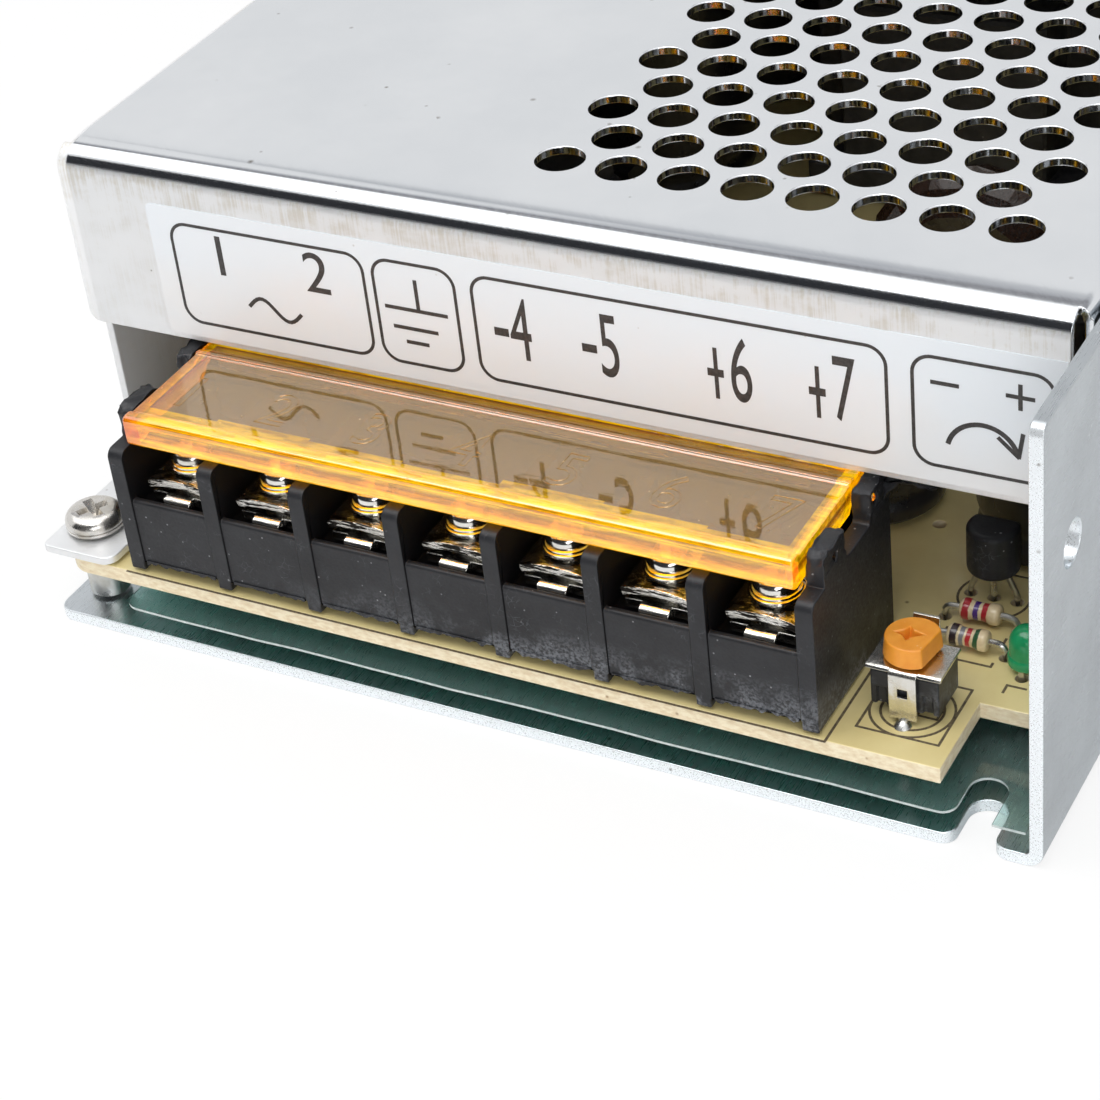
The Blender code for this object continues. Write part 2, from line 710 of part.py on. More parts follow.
def base_chassis():
    fold_x = CASE_RIGHT - CHASSIS_BEND
    bm = flat_sheet((PLATE_LEFT, CASE_FRONT), (fold_x, CASE_REAR), 0)
    bent = fold(bm, border(bm, 0, fold_x), (fold_x, 0, CHASSIS_BEND), (0, -1, 0), QUARTER_TURN)
    wall_top = CASE_HEIGHT - CHASSIS_WALL_DROP
    pull(bm, bent, (0, 0, wall_top - CHASSIS_BEND))
    round_corners(bm, verts_near(bm, (PLATE_LEFT, CASE_FRONT, 0)), CHASSIS_CORNER)
    for y in (CASE_FRONT, CASE_REAR):
        round_corners(bm, verts_near(bm, (CASE_RIGHT, y, wall_top)), WALL_CORNER)
    chassis = sheet_part("base_chassis", bm, (0, 0, -1), CHASSIS_SHEET, "aluminium")
    through = CHASSIS_SHEET + 2 * OVERRUN
    cut(chassis, prism("chassis_notch", notch_outline(), through, "Z", -OVERRUN))
    hole_y = CASE_FRONT + SIDE_HOLE_INSET
    side_holes = [
        (CASE_RIGHT, hole_y, SIDE_HOLE_HEIGHT),
        (CASE_RIGHT, -hole_y, SIDE_HOLE_HEIGHT),
    ]
    cut(chassis, rods("chassis_side_holes", side_holes, SIDE_HOLE, 2 * through, "X", ROUND_FACETS))
    bore = SCREW_SHANK + 2 * SCREW_CLEARANCE
    clamp_hole = [(CASE_RIGHT, clamp_screw_y(), clamp_screw_z())]
    cut(chassis, rods("chassis_clamp_hole", clamp_hole, bore, 2 * through, "X"))
    for number, y in enumerate(cover_screw_places(), 1):
        sink = turned(f"chassis_countersink_{number}", countersink_profile(), SCREW_FACETS)
        sink.transform(Matrix.Translation((CASE_RIGHT, y, COVER_SCREW_HEIGHT)) @ FACING_RIGHT)
        cut(chassis, sink)
    bottom_holes = [
        (BOTTOM_HOLE_SIDE * side, (CASE_REAR - BOTTOM_HOLE_INSET) * end, 0)
        for side in (-1, 1) for end in (-1, 1)
    ]
    cut(chassis, rods("chassis_bottom_holes", bottom_holes, BOTTOM_HOLE, 2 * through))


# Countersunk cover screws, flush with the right wall
FACING_RIGHT = Matrix.Rotation(QUARTER_TURN, 4, "Y")


def cover_screw_places():
    return CASE_FRONT + COVER_SCREW_FRONT_INSET, CASE_REAR - COVER_SCREW_REAR_INSET


def countersink_profile():
    """The hole for a countersunk screw: its head's cone, wider by the clearance."""
    head = SCREW_HEAD / 2 + SCREW_CLEARANCE
    bore = SCREW_SHANK / 2 + SCREW_CLEARANCE
    low = -CHASSIS_SHEET - OVERRUN
    return [(0, OVERRUN), (head, OVERRUN), (head, 0), (bore, -COUNTERSINK_DEPTH), (bore, low), (0, low)]


def cover_screws():
    head = SCREW_HEAD / 2
    shank = SCREW_SHANK / 2
    end = -COVER_SCREW_LENGTH
    profile = [(0, 0), (head, 0), (shank, -COUNTERSINK_DEPTH), (shank, end), (0, end)]
    reach = shank
    half = SLOT_WIDTH / 2
    for number, y in enumerate(cover_screw_places(), 1):
        name = f"cover_screw_{number}"
        mesh = turned(name, profile, SCREW_FACETS)
        mesh.transform(FACING_RIGHT)
        screw = add_object(name, mesh, "tinned_metal", (CASE_RIGHT, y, COVER_SCREW_HEIGHT))
        cut(screw, boxes(name + "_slot_across", [((-SLOT_DEPTH, -reach, -half), (OVERRUN, reach, half))]))
        cut(screw, boxes(name + "_slot_along", [((-SLOT_DEPTH, -half, -reach), (OVERRUN, half, reach))]))


# Top cover
def vent_places():
    """Centres of the staggered vents, in rows that start at the front right corner."""
    right = CASE_RIGHT - VENT_RIGHT_INSET
    front = COVER_FRONT + VENT_FRONT_INSET
    row_pitch = VENT_PITCH * math.sin(math.pi / 3)
    places = []
    for row in range(VENT_ROWS):
        stagger = row % 2
        for column in range(VENT_COLUMNS - stagger):
            x = right - (column + stagger / 2) * VENT_PITCH
            places.append((x, front + row * row_pitch, CASE_HEIGHT))
    return places


def foot_tab(bm, edges, reach):
    """Bends a strip of the left wall in under the wall and pulls it out over the board."""
    inner = CASE_LEFT + TAB_BEND
    bent = fold(bm, edges, (inner, 0, TAB_BOTTOM + TAB_BEND), (0, -1, 0), QUARTER_TURN)
    pull(bm, bent, (TAB_WIDTH - TAB_BEND, 0, 0))
    if reach:
        front = COVER_FRONT + COVER_BEND
        side = [
            edge for edge in border(bm, 1, front)
            if all(abs(vert.co.z - TAB_BOTTOM) < WELD for vert in edge.verts)
        ]
        pull(bm, side, (0, -reach, 0))
        for x in (inner, CASE_LEFT + TAB_WIDTH):
            round_corners(bm, verts_near(bm, (x, front - reach, TAB_BOTTOM)), TAB_CORNER)


def top_cover():
    low = (CASE_LEFT + COVER_BEND, COVER_FRONT + COVER_BEND)
    high = (COVER_RIGHT - COVER_BEND, CASE_REAR - COVER_BEND)
    top = CASE_HEIGHT
    bend_z = top - COVER_BEND
    slits = [
        low[1] + TAB_ROOT, low[1] + TAB_ROOT + TAB_SLIT,
        high[1] - TAB_ROOT - TAB_SLIT, high[1] - TAB_ROOT,
    ]
    bm = flat_sheet(low, high, top)
    split_sheet(bm, 1, slits)
    sides = {
        "front": (border(bm, 1, low[1]), (0, low[1], bend_z), (1, 0, 0)),
        "rear": (border(bm, 1, high[1]), (0, high[1], bend_z), (-1, 0, 0)),
        "right": (border(bm, 0, high[0]), (high[0], 0, bend_z), (0, 1, 0)),
        "left": (border(bm, 0, low[0]), (low[0], 0, bend_z), (0, -1, 0)),
    }
    ends = {}
    for side, (edges, centre, axis) in sides.items():
        ends[side] = fold(bm, edges, centre, axis, QUARTER_TURN)
    pull(bm, ends["right"], (0, 0, COVER_BEND - RIGHT_FLANGE_DROP))
    flange_bottom = BOARD_TOP + EAR_TOP + FRONT_FLANGE_CLEARANCE
    rear_bottom = CHASSIS_SHEET + COVER_FLOOR_GAP
    for side, y, bottom in (("front", COVER_FRONT, flange_bottom), ("rear", CASE_REAR, rear_bottom)):
        pull(bm, ends[side], (0, 0, bottom - bend_z))
        left_edge = [edge for edge in border(bm, 0, low[0]) if edge_is_upright(edge, y)]
        pull(bm, left_edge, (-COVER_BEND, 0, 0))
    round_corners(bm, verts_near(bm, (CASE_LEFT, COVER_FRONT, flange_bottom)), FRONT_FLANGE_CHAMFER)
    slit_top = TAB_TOP + TAB_SLIT_RISE
    upper = pull(bm, ends["left"], (0, 0, slit_top - bend_z))
    pull(bm, between(upper, 1, slits[1], slits[2]), (0, 0, COVER_FLOOR_GAP - slit_top))
    tab_drop = TAB_BOTTOM + TAB_BEND - slit_top
    front_strip = pull(bm, between(upper, 1, low[1], slits[0]), (0, 0, tab_drop))
    rear_strip = pull(bm, between(upper, 1, slits[3], high[1]), (0, 0, tab_drop))
    foot_tab(bm, front_strip, TAB_REACH)
    foot_tab(bm, rear_strip, 0)
    cover = sheet_part("top_cover", bm, (0, 0, 1), COVER_SHEET, "plated_steel")
    depth = COVER_SHEET + 2 * OVERRUN
    cut(cover, rods("cover_vents", vent_places(), VENT_DIAMETER, 2 * depth, facets=VENT_FACETS))
    bore = SCREW_SHANK + 2 * SCREW_CLEARANCE
    tab_holes = [(x, y, TAB_BOTTOM) for x, y, seat in STANDOFFS if seat == TAB_TOP]
    cut(cover, rods("cover_tab_holes", tab_holes, bore, 2 * depth))
    flange_holes = [(COVER_RIGHT, y, COVER_SCREW_HEIGHT) for y in cover_screw_places()]
    cut(cover, rods("cover_flange_holes", flange_holes, bore, 2 * depth, "X"))


def edge_is_upright(edge, y):
    """True for an upright edge that lies in the plane of a flange at y."""
    first, second = edge.verts
    in_plane = all(abs(vert.co.y - y) < WELD for vert in edge.verts)
    return in_plane and abs(first.co.z - second.co.z) > COVER_BEND


# Circuit board, standoffs, board screws and film
def circuit_board():
    corners = [
        (BOARD_LEFT, BOARD_FRONT, BOARD_CORNER),
        (BOARD_RIGHT - BOARD_CUT_WIDTH, BOARD_FRONT, 0),
        (BOARD_RIGHT - BOARD_CUT_WIDTH, BOARD_FRONT + BOARD_CUT_DEPTH, 0),
        (BOARD_RIGHT, BOARD_FRONT + BOARD_CUT_DEPTH, 0),
        (BOARD_RIGHT, BOARD_REAR, 0),
        (BOARD_LEFT, BOARD_REAR, BOARD_CORNER),
    ]
    mesh = prism("circuit_board", rounded(corners), BOARD_THICKNESS, "Z", BOARD_BOTTOM)
    board = add_object("circuit_board", mesh, "board_laminate")
    through = 2 * (BOARD_THICKNESS + OVERRUN)
    screw_places = [(x, y, BOARD_TOP) for x, y, seat in STANDOFFS]
    bore = SCREW_SHANK + 2 * SCREW_CLEARANCE
    cut(board, rods("board_screw_holes", screw_places, bore, through))
    lead_bore = LEAD_DIAMETER + 2 * GAP
    lead_places = [(x, y, BOARD_TOP) for x, y in lead_holes()]
    cut(board, rods("board_lead_holes", lead_places, lead_bore, through, facets=WIRE_FACETS))
    half = PIN_WIDTH / 2 + GAP
    rear = BLOCK_CORNER.y + CONTACT_REAR + GAP
    front = rear - CONTACT_SHEET - 2 * GAP
    pin_slots = []
    for x in terminal_places():
        pin_slots.append(((x - half, front, BOARD_BOTTOM - OVERRUN), (x + half, rear, BOARD_TOP + OVERRUN)))
    cut(board, boxes("board_pin_slots", pin_slots))
    test_hole = [(CASE_LEFT + BOARD_HOLE_X, CASE_FRONT + BOARD_HOLE_Y, BOARD_TOP)]
    cut(board, rods("board_test_hole", test_hole, BOARD_HOLE, through, facets=WIRE_FACETS))


def lead_holes():
    """Where the small parts' leads pass through the board."""
    x0, y0, _ = BLOCK_CORNER
    holes = []
    for x, y in ((RESISTOR_A_X, RESISTOR_A_Y), (RESISTOR_B_X, RESISTOR_B_Y)):
        for side in (-1, 1):
            holes.append((x0 + x + side * RESISTOR_SPAN / 2, y0 + y))
    for step in (-1, 0, 1):
        holes.append((x0 + TRANSISTOR_X + step * TRANSISTOR_LEG_PITCH, y0 + TRANSISTOR_Y))
    for side in (-1, 1):
        holes.append((x0 + LAMP_X, y0 + LAMP_Y + side * LAMP_LEG_PITCH))
        holes.append((x0 + TRIMMER_X, y0 + TRIMMER_Y + side * trimmer_leg_y()))
    return holes


def board_standoffs():
    """Turned standoffs with a blind bore, a foot on the plate and a neck through the film."""
    bore = STANDOFF_BORE / 2
    neck = STANDOFF_NECK / 2
    foot = STANDOFF_FOOT / 2
    floor = STANDOFF_BOTTOM + STANDOFF_WEB
    shoulder = FILM_BOTTOM - GAP
    top = BOARD_BOTTOM - GAP
    profile = [
        (0, floor), (bore, floor), (bore, top), (neck, top), (neck, shoulder), (foot, shoulder),
        (foot, STANDOFF_BOTTOM), (0, STANDOFF_BOTTOM),
    ]
    for number, (x, y, _) in enumerate(STANDOFFS, 1):
        name = f"board_standoff_{number}"
        add_object(name, turned(name, profile, SCREW_FACETS), "tinned_metal", (x, y, 0))


def board_screws():
    for number, (x, y, seat) in enumerate(STANDOFFS, 1):
        name = f"board_screw_{number}"
        add_object(name, small_screw(name, SCREW_LENGTH), "tinned_metal", (x, y, seat + GAP))


def insulating_film():
    step_y = CASE_FRONT + FILM_STEP
    left = CASE_LEFT + FILM_LEFT
    right = WALL_INSIDE - FILM_RIGHT_GAP
    corners = [
        (left, CASE_FRONT, FILM_CORNER), (right, CASE_FRONT, 0), (right, BOARD_REAR, 0),
        (BOARD_LEFT, BOARD_REAR, 0), (BOARD_LEFT, step_y, 0), (left, step_y, 0),
    ]
    mesh = prism("insulating_film", rounded(corners), FILM_THICKNESS, "Z", FILM_BOTTOM)
    film = add_object("insulating_film", mesh, "clear_film")
    depth = FILM_THICKNESS + 2 * OVERRUN
    cut(film, prism("film_notch", notch_outline(), depth, "Z", FILM_BOTTOM - OVERRUN))
    places = [(x, y, FILM_BOTTOM) for x, y, _ in STANDOFFS]
    cut(film, rods("film_holes", places, STANDOFF_NECK + 2 * FILM_HOLE_CLEARANCE, 2 * depth))


# Terminal block housing
def terminal_places():
    """Screw axes of the terminals, from left to right."""
    first = BLOCK_CORNER.x + PITCH / 2 + TERMINAL_SHIFT
    return [first + number * PITCH for number in range(TERMINALS)]


def housing_side_outline():
    """Side view (y, z) of an end wall: shoulder, front ear, saddle and rear ear."""
    return rounded([
        (0, GAP, 0), (0, DIVIDER_TOP, DIVIDER_SHOULDER), (FRONT_EAR_START, DIVIDER_TOP, 0),
        (FRONT_EAR_START, EAR_TOP, EAR_RADIUS), (FRONT_EAR_END, EAR_TOP, EAR_RADIUS / 2),
        (FRONT_EAR_END, DIVIDER_TOP, EAR_RADIUS), (REAR_EAR_START, DIVIDER_TOP, EAR_RADIUS / 2),
        (REAR_EAR_START, EAR_TOP, EAR_RADIUS / 2), (BLOCK_DEPTH, EAR_TOP, EAR_RADIUS / 2),
        (BLOCK_DEPTH, GAP, 0),
    ])


def pocket_outline():
    """Side view (y, z) of what is open in a pocket: the recessed panel, the sill and the cavity."""
    back = BLOCK_DEPTH - BLOCK_REAR_WALL
    high = EAR_TOP + OVERRUN
    return [
        (-OVERRUN, GAP - OVERRUN), (BLOCK_PANEL_RECESS, GAP - OVERRUN), (BLOCK_PANEL_RECESS, BLOCK_SILL),
        (BLOCK_WALL, BLOCK_SILL), (BLOCK_WALL, BLOCK_FLOOR), (back, BLOCK_FLOOR),
        (back, DIVIDER_REAR_TOP - OVERRUN), (back, high), (-OVERRUN, high),
    ]


def merged(name, meshes):
    """One mesh from several that don't touch."""
    bm = bmesh.new()
    for mesh in meshes:
        bm.from_mesh(mesh)
        bpy.data.meshes.remove(mesh)
    return mesh_of(bm, name)


def terminal_housing():
    width = BLOCK_WIDTH + BLOCK_WALL
    mesh = prism("terminal_housing", housing_side_outline(), width, "X", -BLOCK_WALL / 2)
    housing = add_object("terminal_housing", mesh, "black_moulding", BLOCK_CORNER)
    inner_left = BLOCK_WALL / 2
    inner_right = BLOCK_WIDTH - BLOCK_WALL / 2
    high = EAR_TOP + OVERRUN
    back = BLOCK_DEPTH + OVERRUN
    lid_space = rounded([
        (-OVERRUN, DIVIDER_TOP, 0), (DIVIDER_REAR_STEP, DIVIDER_TOP, 0),
        (DIVIDER_REAR_STEP, DIVIDER_REAR_TOP, 0), (back, DIVIDER_REAR_TOP, 0),
        (back, high, 0), (-OVERRUN, high, 0),
    ])
    cut(housing, prism("housing_lid_space", lid_space, inner_right - inner_left, "X", inner_left))
    pockets = []
    undersides = []
    pin_slots = []
    for number in range(TERMINALS):
        left = number * PITCH
        pocket = prism("pocket", pocket_outline(), PITCH - BLOCK_WALL, "X", left + BLOCK_WALL / 2)
        pockets.append(pocket)
        foot = BLOCK_FOOT / 2
        right = left + PITCH
        undersides.append(((left + foot, -OVERRUN, GAP - OVERRUN), (right - foot, back, BLOCK_UNDERSIDE)))
        x = left + PITCH / 2 + TERMINAL_SHIFT
        half = PIN_WIDTH / 2 + GAP
        front = CONTACT_REAR - CONTACT_SHEET - GAP
        rear = CONTACT_REAR + GAP
        pin_slots.append(((x - half, front, -OVERRUN), (x + half, rear, BLOCK_FLOOR + OVERRUN)))
    cut(housing, merged("housing_pockets", pockets))
    cut(housing, boxes("housing_undersides", undersides))
    cut(housing, boxes("housing_pin_slots", pin_slots))
    thread_depth = BLOCK_FLOOR - BLOCK_UNDERSIDE + 2 * OVERRUN
    thread_places = [
        (x - BLOCK_CORNER.x, TERMINAL_Y, (BLOCK_FLOOR + BLOCK_UNDERSIDE) / 2) for x in terminal_places()
    ]
    bore = TERMINAL_THREAD + 2 * GAP
    cut(housing, rods("housing_thread_wells", thread_places, bore, thread_depth, facets=WIRE_FACETS))
    middle = BLOCK_WIDTH / 2
    long = 2 * BLOCK_WIDTH
    cut(housing, rods("housing_hinge_bore", [(middle, HINGE_Y, HINGE_Z)], HINGE_HOLE, long, "X"))
    cut(housing, rods("housing_catch_bore", [(middle, CATCH_Y, CATCH_Z)], CATCH_HOLE, long, "X"))
    join(housing, prism("housing_lug", lug_outline(), LUG_THICKNESS, "Y", BLOCK_DEPTH - LUG_THICKNESS))


def lug_outline():
    """Front view (x, z) of the bracket on the right rear corner, with a curved underside."""
    root = BLOCK_WIDTH + BLOCK_WALL / 4
    tip = BLOCK_WIDTH + LUG_REACH
    height = LUG_TOP - LUG_ROOT
    knee_x = root + (tip - root) * LUG_KNEE_REACH_SHARE
    knee_z = LUG_ROOT + height * LUG_KNEE_DROP_SHARE
    return [
        (root, LUG_ROOT), (knee_x, knee_z), (tip, LUG_TOP - height / ARCH_STEPS), (tip, LUG_TOP),
        (root, LUG_TOP),
    ]


# Lid
def lid_outline():
    """Side view (y, z) of the rib, the plate and the skirt, round at the hinge."""
    rib_top = LID_TOP + LID_RIB_RISE
    bevel = LID_RIB_BEVEL
    knuckle = LID_TOP - LID_PLATE - HINGE_Z + HINGE_PIN
    under = LID_TOP - LID_PLATE
    points = [(LID_FRONT, LID_RIB_BOTTOM + bevel), (LID_FRONT, rib_top - bevel)]
    points += [(LID_FRONT + bevel, rib_top), (LID_FRONT + LID_RIB - bevel, rib_top)]
    points += [(LID_FRONT + LID_RIB, LID_TOP), (LID_REAR, LID_TOP), (LID_REAR, under)]
    points += [(HINGE_Y + knuckle, under)]
    points += arc((HINGE_Y, HINGE_Z), knuckle, 0, -90, BEND_STEPS)
    points += [(HINGE_Y - knuckle, LID_RIB_BOTTOM), (LID_FRONT + bevel, LID_RIB_BOTTOM)]
    return points


def terminal_lid():
    left = BLOCK_WALL / 2 + GAP - BLOCK_WIDTH / 2
    right = -left
    hinge = BLOCK_CORNER + Vector((BLOCK_WIDTH / 2, HINGE_Y, HINGE_Z))
    outline = [(y - HINGE_Y, z - HINGE_Z) for y, z in lid_outline()]
    mesh = prism("terminal_lid", outline, right - left, "X", left)
    lid = add_object("terminal_lid", mesh, "orange_clear_plastic", hinge)
    rib_back = LID_FRONT + LID_RIB - HINGE_Y
    under = LID_TOP - LID_PLATE - HINGE_Z
    low = LID_RIB_BOTTOM - OVERRUN - HINGE_Z
    hollow = [((left + LID_SKIRT, rib_back, low), (right - LID_SKIRT, LID_REAR - HINGE_Y + OVERRUN, under))]
    cut(lid, boxes("lid_hollow", hollow))
    pin_reach = LID_SKIRT + BLOCK_WALL + GAP - LID_SKIRT / 2
    pins = []
    snaps = []
    for side in (-1, 1):
        pins.append((side * (right - LID_SKIRT / 2 + pin_reach / 2), 0, 0))
        snaps.append((side * right, CATCH_Y - HINGE_Y, CATCH_Z - HINGE_Z))
    join(lid, rods("lid_hinge_pins", pins, HINGE_PIN, pin_reach, "X", WIRE_FACETS))
    join(lid, rods("lid_snaps", snaps, SNAP_DIAMETER, GAP, "X", WIRE_FACETS))


# Terminal contacts, clamp plates and screws
def contact_mesh():
    """A folded plate: tongue bent down at the front, solder pin bent down at the rear."""
    half = CONTACT_WIDTH / 2
    front = CONTACT_FRONT - TERMINAL_Y
    rear = CONTACT_REAR - TERMINAL_Y
    bm = flat_sheet((-half, front + CONTACT_BEND), (half, rear - CONTACT_BEND), CONTACT_TOP)
    split_sheet(bm, 0, [-TONGUE_WIDTH / 2, -PIN_WIDTH / 2, PIN_WIDTH / 2, TONGUE_WIDTH / 2])
    bend_z = CONTACT_TOP - CONTACT_BEND
    tongue = between(border(bm, 1, front + CONTACT_BEND), 0, -TONGUE_WIDTH / 2, TONGUE_WIDTH / 2)
    pin = between(border(bm, 1, rear - CONTACT_BEND), 0, -PIN_WIDTH / 2, PIN_WIDTH / 2)
    fold(bm, tongue, (0, front + CONTACT_BEND, bend_z), (1, 0, 0), TONGUE_TURN)
    bent = fold(bm, pin, (0, rear - CONTACT_BEND, bend_z), (-1, 0, 0), QUARTER_TURN)
    pin_end = -BOARD_THICKNESS - PIN_BELOW_BOARD
    pull(bm, bent, (0, 0, pin_end - bend_z))
    return bm


def clamp_mesh():
    """A plate arched from side to side, so that its edges press the wire down."""
    half = CLAMP_WIDTH / 2
    radius = (half ** 2 + CLAMP_RISE ** 2) / (2 * CLAMP_RISE)
    spread = math.degrees(math.asin(half / radius))
    top = CLAMP_TOP
    outline = arc((0, top - radius), radius, 90 - spread, 90 + spread, ARCH_STEPS)
    outline += arc((0, top - radius), radius - CLAMP_SHEET, 90 + spread, 90 - spread, ARCH_STEPS)
    return prism("clamp", outline, CLAMP_DEPTH, "Y", -CLAMP_DEPTH / 2)


def terminal_screw_mesh():
    flange = TERMINAL_FLANGE / 2
    head = TERMINAL_HEAD / 2
    thread = TERMINAL_THREAD / 2
    top = TERMINAL_FLANGE_THICKNESS + TERMINAL_HEAD_HEIGHT
    crown = TERMINAL_HEAD_HEIGHT / 4
    rim = TERMINAL_FLANGE_THICKNESS
    profile = [
        (0, top), (head - crown * 2, top), (head - crown / 2, top - crown), (head, rim), (flange, rim),
        (flange, 0), (thread, 0), (thread, -TERMINAL_THREAD_LENGTH), (0, -TERMINAL_THREAD_LENGTH),
    ]
    item = add_object("terminal_screw", turned("terminal_screw", profile, SCREW_FACETS))
    reach = head - crown
    half = TERMINAL_SLOT / 2
    bottom = top - TERMINAL_SLOT_DEPTH
    high = top + OVERRUN
    cut(item, boxes("terminal_slot_across", [((-reach, -half, bottom), (reach, half, high))]))
    cut(item, boxes("terminal_slot_along", [((-half, -reach, bottom), (half, reach, high))]))
    bpy.context.view_layer.update()
    return evaluated_mesh(item)


def terminals():
    bore = TERMINAL_THREAD + 2 * GAP
    screw = terminal_screw_mesh()
    for number, x in enumerate(terminal_places(), 1):
        place = (x, BLOCK_CORNER.y + TERMINAL_Y, BOARD_TOP)
        contact = sheet_part(
            f"terminal_contact_{number}", contact_mesh(), (0, 0, 1), CONTACT_SHEET, "tinned_metal", place,
        )
        height = CONTACT_TOP - CONTACT_SHEET / 2
        cut(contact, rods("contact_bore", [(0, 0, height)], bore, 2 * CONTACT_SHEET))
        clamp = add_object(f"terminal_clamp_{number}", clamp_mesh(), "tinned_metal", place)
        height = CLAMP_TOP - CLAMP_SHEET / 2
        cut(clamp, rods("clamp_bore", [(0, 0, height)], bore, CLAMP_BORE_DEPTH))
        seat = (place[0], place[1], BOARD_TOP + CLAMP_TOP + GAP)
        add_object(f"terminal_screw_{number}", screw.copy(), "tinned_metal", seat)


# Trimmer
def trimmer_leg_y():
    """How far a leg stands from the trimmer's middle, at the middle of its thickness."""
    return TRIMMER_FRAME_DEPTH / 2 - TRIMMER_SHEET / 2


def trimmer_body():
    half_x = TRIMMER_BODY_WIDTH / 2
    half_y = TRIMMER_BODY_DEPTH / 2
    top = TRIMMER_FRAME_TOP - TRIMMER_SHEET - GAP
    mesh = boxes("trimmer_body", [((-half_x, -half_y, TRIMMER_BODY_BOTTOM), (half_x, half_y, top))])
    body = add_object("trimmer_body", mesh, "black_moulding", TRIMMER_PLACE)
    soften(body, TRIMMER_SHEET)
    bore = TRIMMER_STEM + 2 * GAP
    depth = 2 * (TRIMMER_FRAME_TOP - TRIMMER_LEG_WINDOW_Z)
    cut(body, rods("trimmer_bore", [(0, 0, TRIMMER_FRAME_TOP)], bore, depth))


def trimmer_frame():
    half_x = TRIMMER_FRAME_WIDTH / 2
    half_y = TRIMMER_FRAME_DEPTH / 2
    leg = TRIMMER_LEG_WIDTH / 2
    pin = TRIMMER_PIN_WIDTH / 2
    bend = 2 * TRIMMER_SHEET
    bm = flat_sheet((-half_x, bend - half_y), (half_x, half_y - bend), TRIMMER_FRAME_TOP)
    split_sheet(bm, 0, [-leg, -pin, pin, leg])
    bend_z = TRIMMER_FRAME_TOP - bend
    foot = TRIMMER_BODY_BOTTOM / 2
    for side in (-1, 1):
        y = side * (half_y - bend)
        edges = between(border(bm, 1, y), 0, -leg, leg)
        bent = fold(bm, edges, (0, y, bend_z), (-side, 0, 0), QUARTER_TURN)
        low = pull(bm, bent, (0, 0, foot - bend_z))
        pull(bm, between(low, 0, -pin, pin), (0, 0, -BOARD_THICKNESS - LEAD_BELOW_BOARD - foot))
    frame = sheet_part("trimmer_frame", bm, (0, 0, 1), TRIMMER_SHEET, "tinned_metal", TRIMMER_PLACE)
    cut(frame, rods("frame_bore", [(0, 0, TRIMMER_FRAME_TOP)], TRIMMER_STEM + 2 * GAP, OVERRUN))
    window = TRIMMER_LEG_WINDOW / 2
    low = (-window, -half_y - OVERRUN, TRIMMER_LEG_WINDOW_Z - window)
    high = (window, OVERRUN - half_y, TRIMMER_LEG_WINDOW_Z + window)
    cut(frame, boxes("frame_window", [(low, high)]))


def trimmer_knob():
    base = TRIMMER_KNOB / 2
    top = TRIMMER_KNOB_TOP / 2
    stem = TRIMMER_STEM / 2
    height = TRIMMER_KNOB_HEIGHT
    stem_end = TRIMMER_LEG_WINDOW_Z + GAP - TRIMMER_FRAME_TOP
    profile = [
        (0, height), (top, height), (base, height / 2), (base, 0), (stem, 0), (stem, stem_end),
        (0, stem_end),
    ]
    place = TRIMMER_PLACE + Vector((0, 0, TRIMMER_FRAME_TOP + GAP))
    knob = add_object("trimmer_knob", turned("trimmer_knob", profile, SCREW_FACETS), "orange_plastic", place)
    reach = top - TRIMMER_RECESS / 2
    half = TRIMMER_RECESS / 2
    low = height - TRIMMER_RECESS
    high = height + OVERRUN
    cut(knob, boxes("knob_slot_across", [((-reach, -half, low), (reach, half, high))]))
    cut(knob, boxes("knob_slot_along", [((-half, -reach, low), (half, reach, high))]))


# Small parts beside the trimmer
def resistor(name, x, y):
    half = RESISTOR_SPAN / 2
    low = -BOARD_THICKNESS - LEAD_BELOW_BOARD
    bend = LEAD_BEND
    path = [
        (-half, 0, low), (-half, 0, RESISTOR_RISE - bend), (bend - half, 0, RESISTOR_RISE),
        (half - bend, 0, RESISTOR_RISE), (half, 0, RESISTOR_RISE - bend), (half, 0, low),
    ]
    place = BLOCK_CORNER + Vector((x, y, 0))
    item = add_object(name, wire(name, path, LEAD_DIAMETER), "resistor_coat", place)
    end = RESISTOR_LENGTH / 2
    thick = RESISTOR_DIAMETER / 2
    waist = RESISTOR_WAIST / 2
    cap = RESISTOR_CAP
    half_profile = [
        (0, end), (thick / 2, end), (thick, end - cap / 2), (thick, end - cap), (waist, end - RESISTOR_NECK),
    ]
    profile = half_profile + [(radius, -height) for radius, height in reversed(half_profile)]
    body = turned(name + "_body", profile, SCREW_FACETS)
    body.transform(Matrix.Translation((0, 0, RESISTOR_RISE)) @ Matrix.Rotation(QUARTER_TURN, 4, "Y"))
    join(item, body)


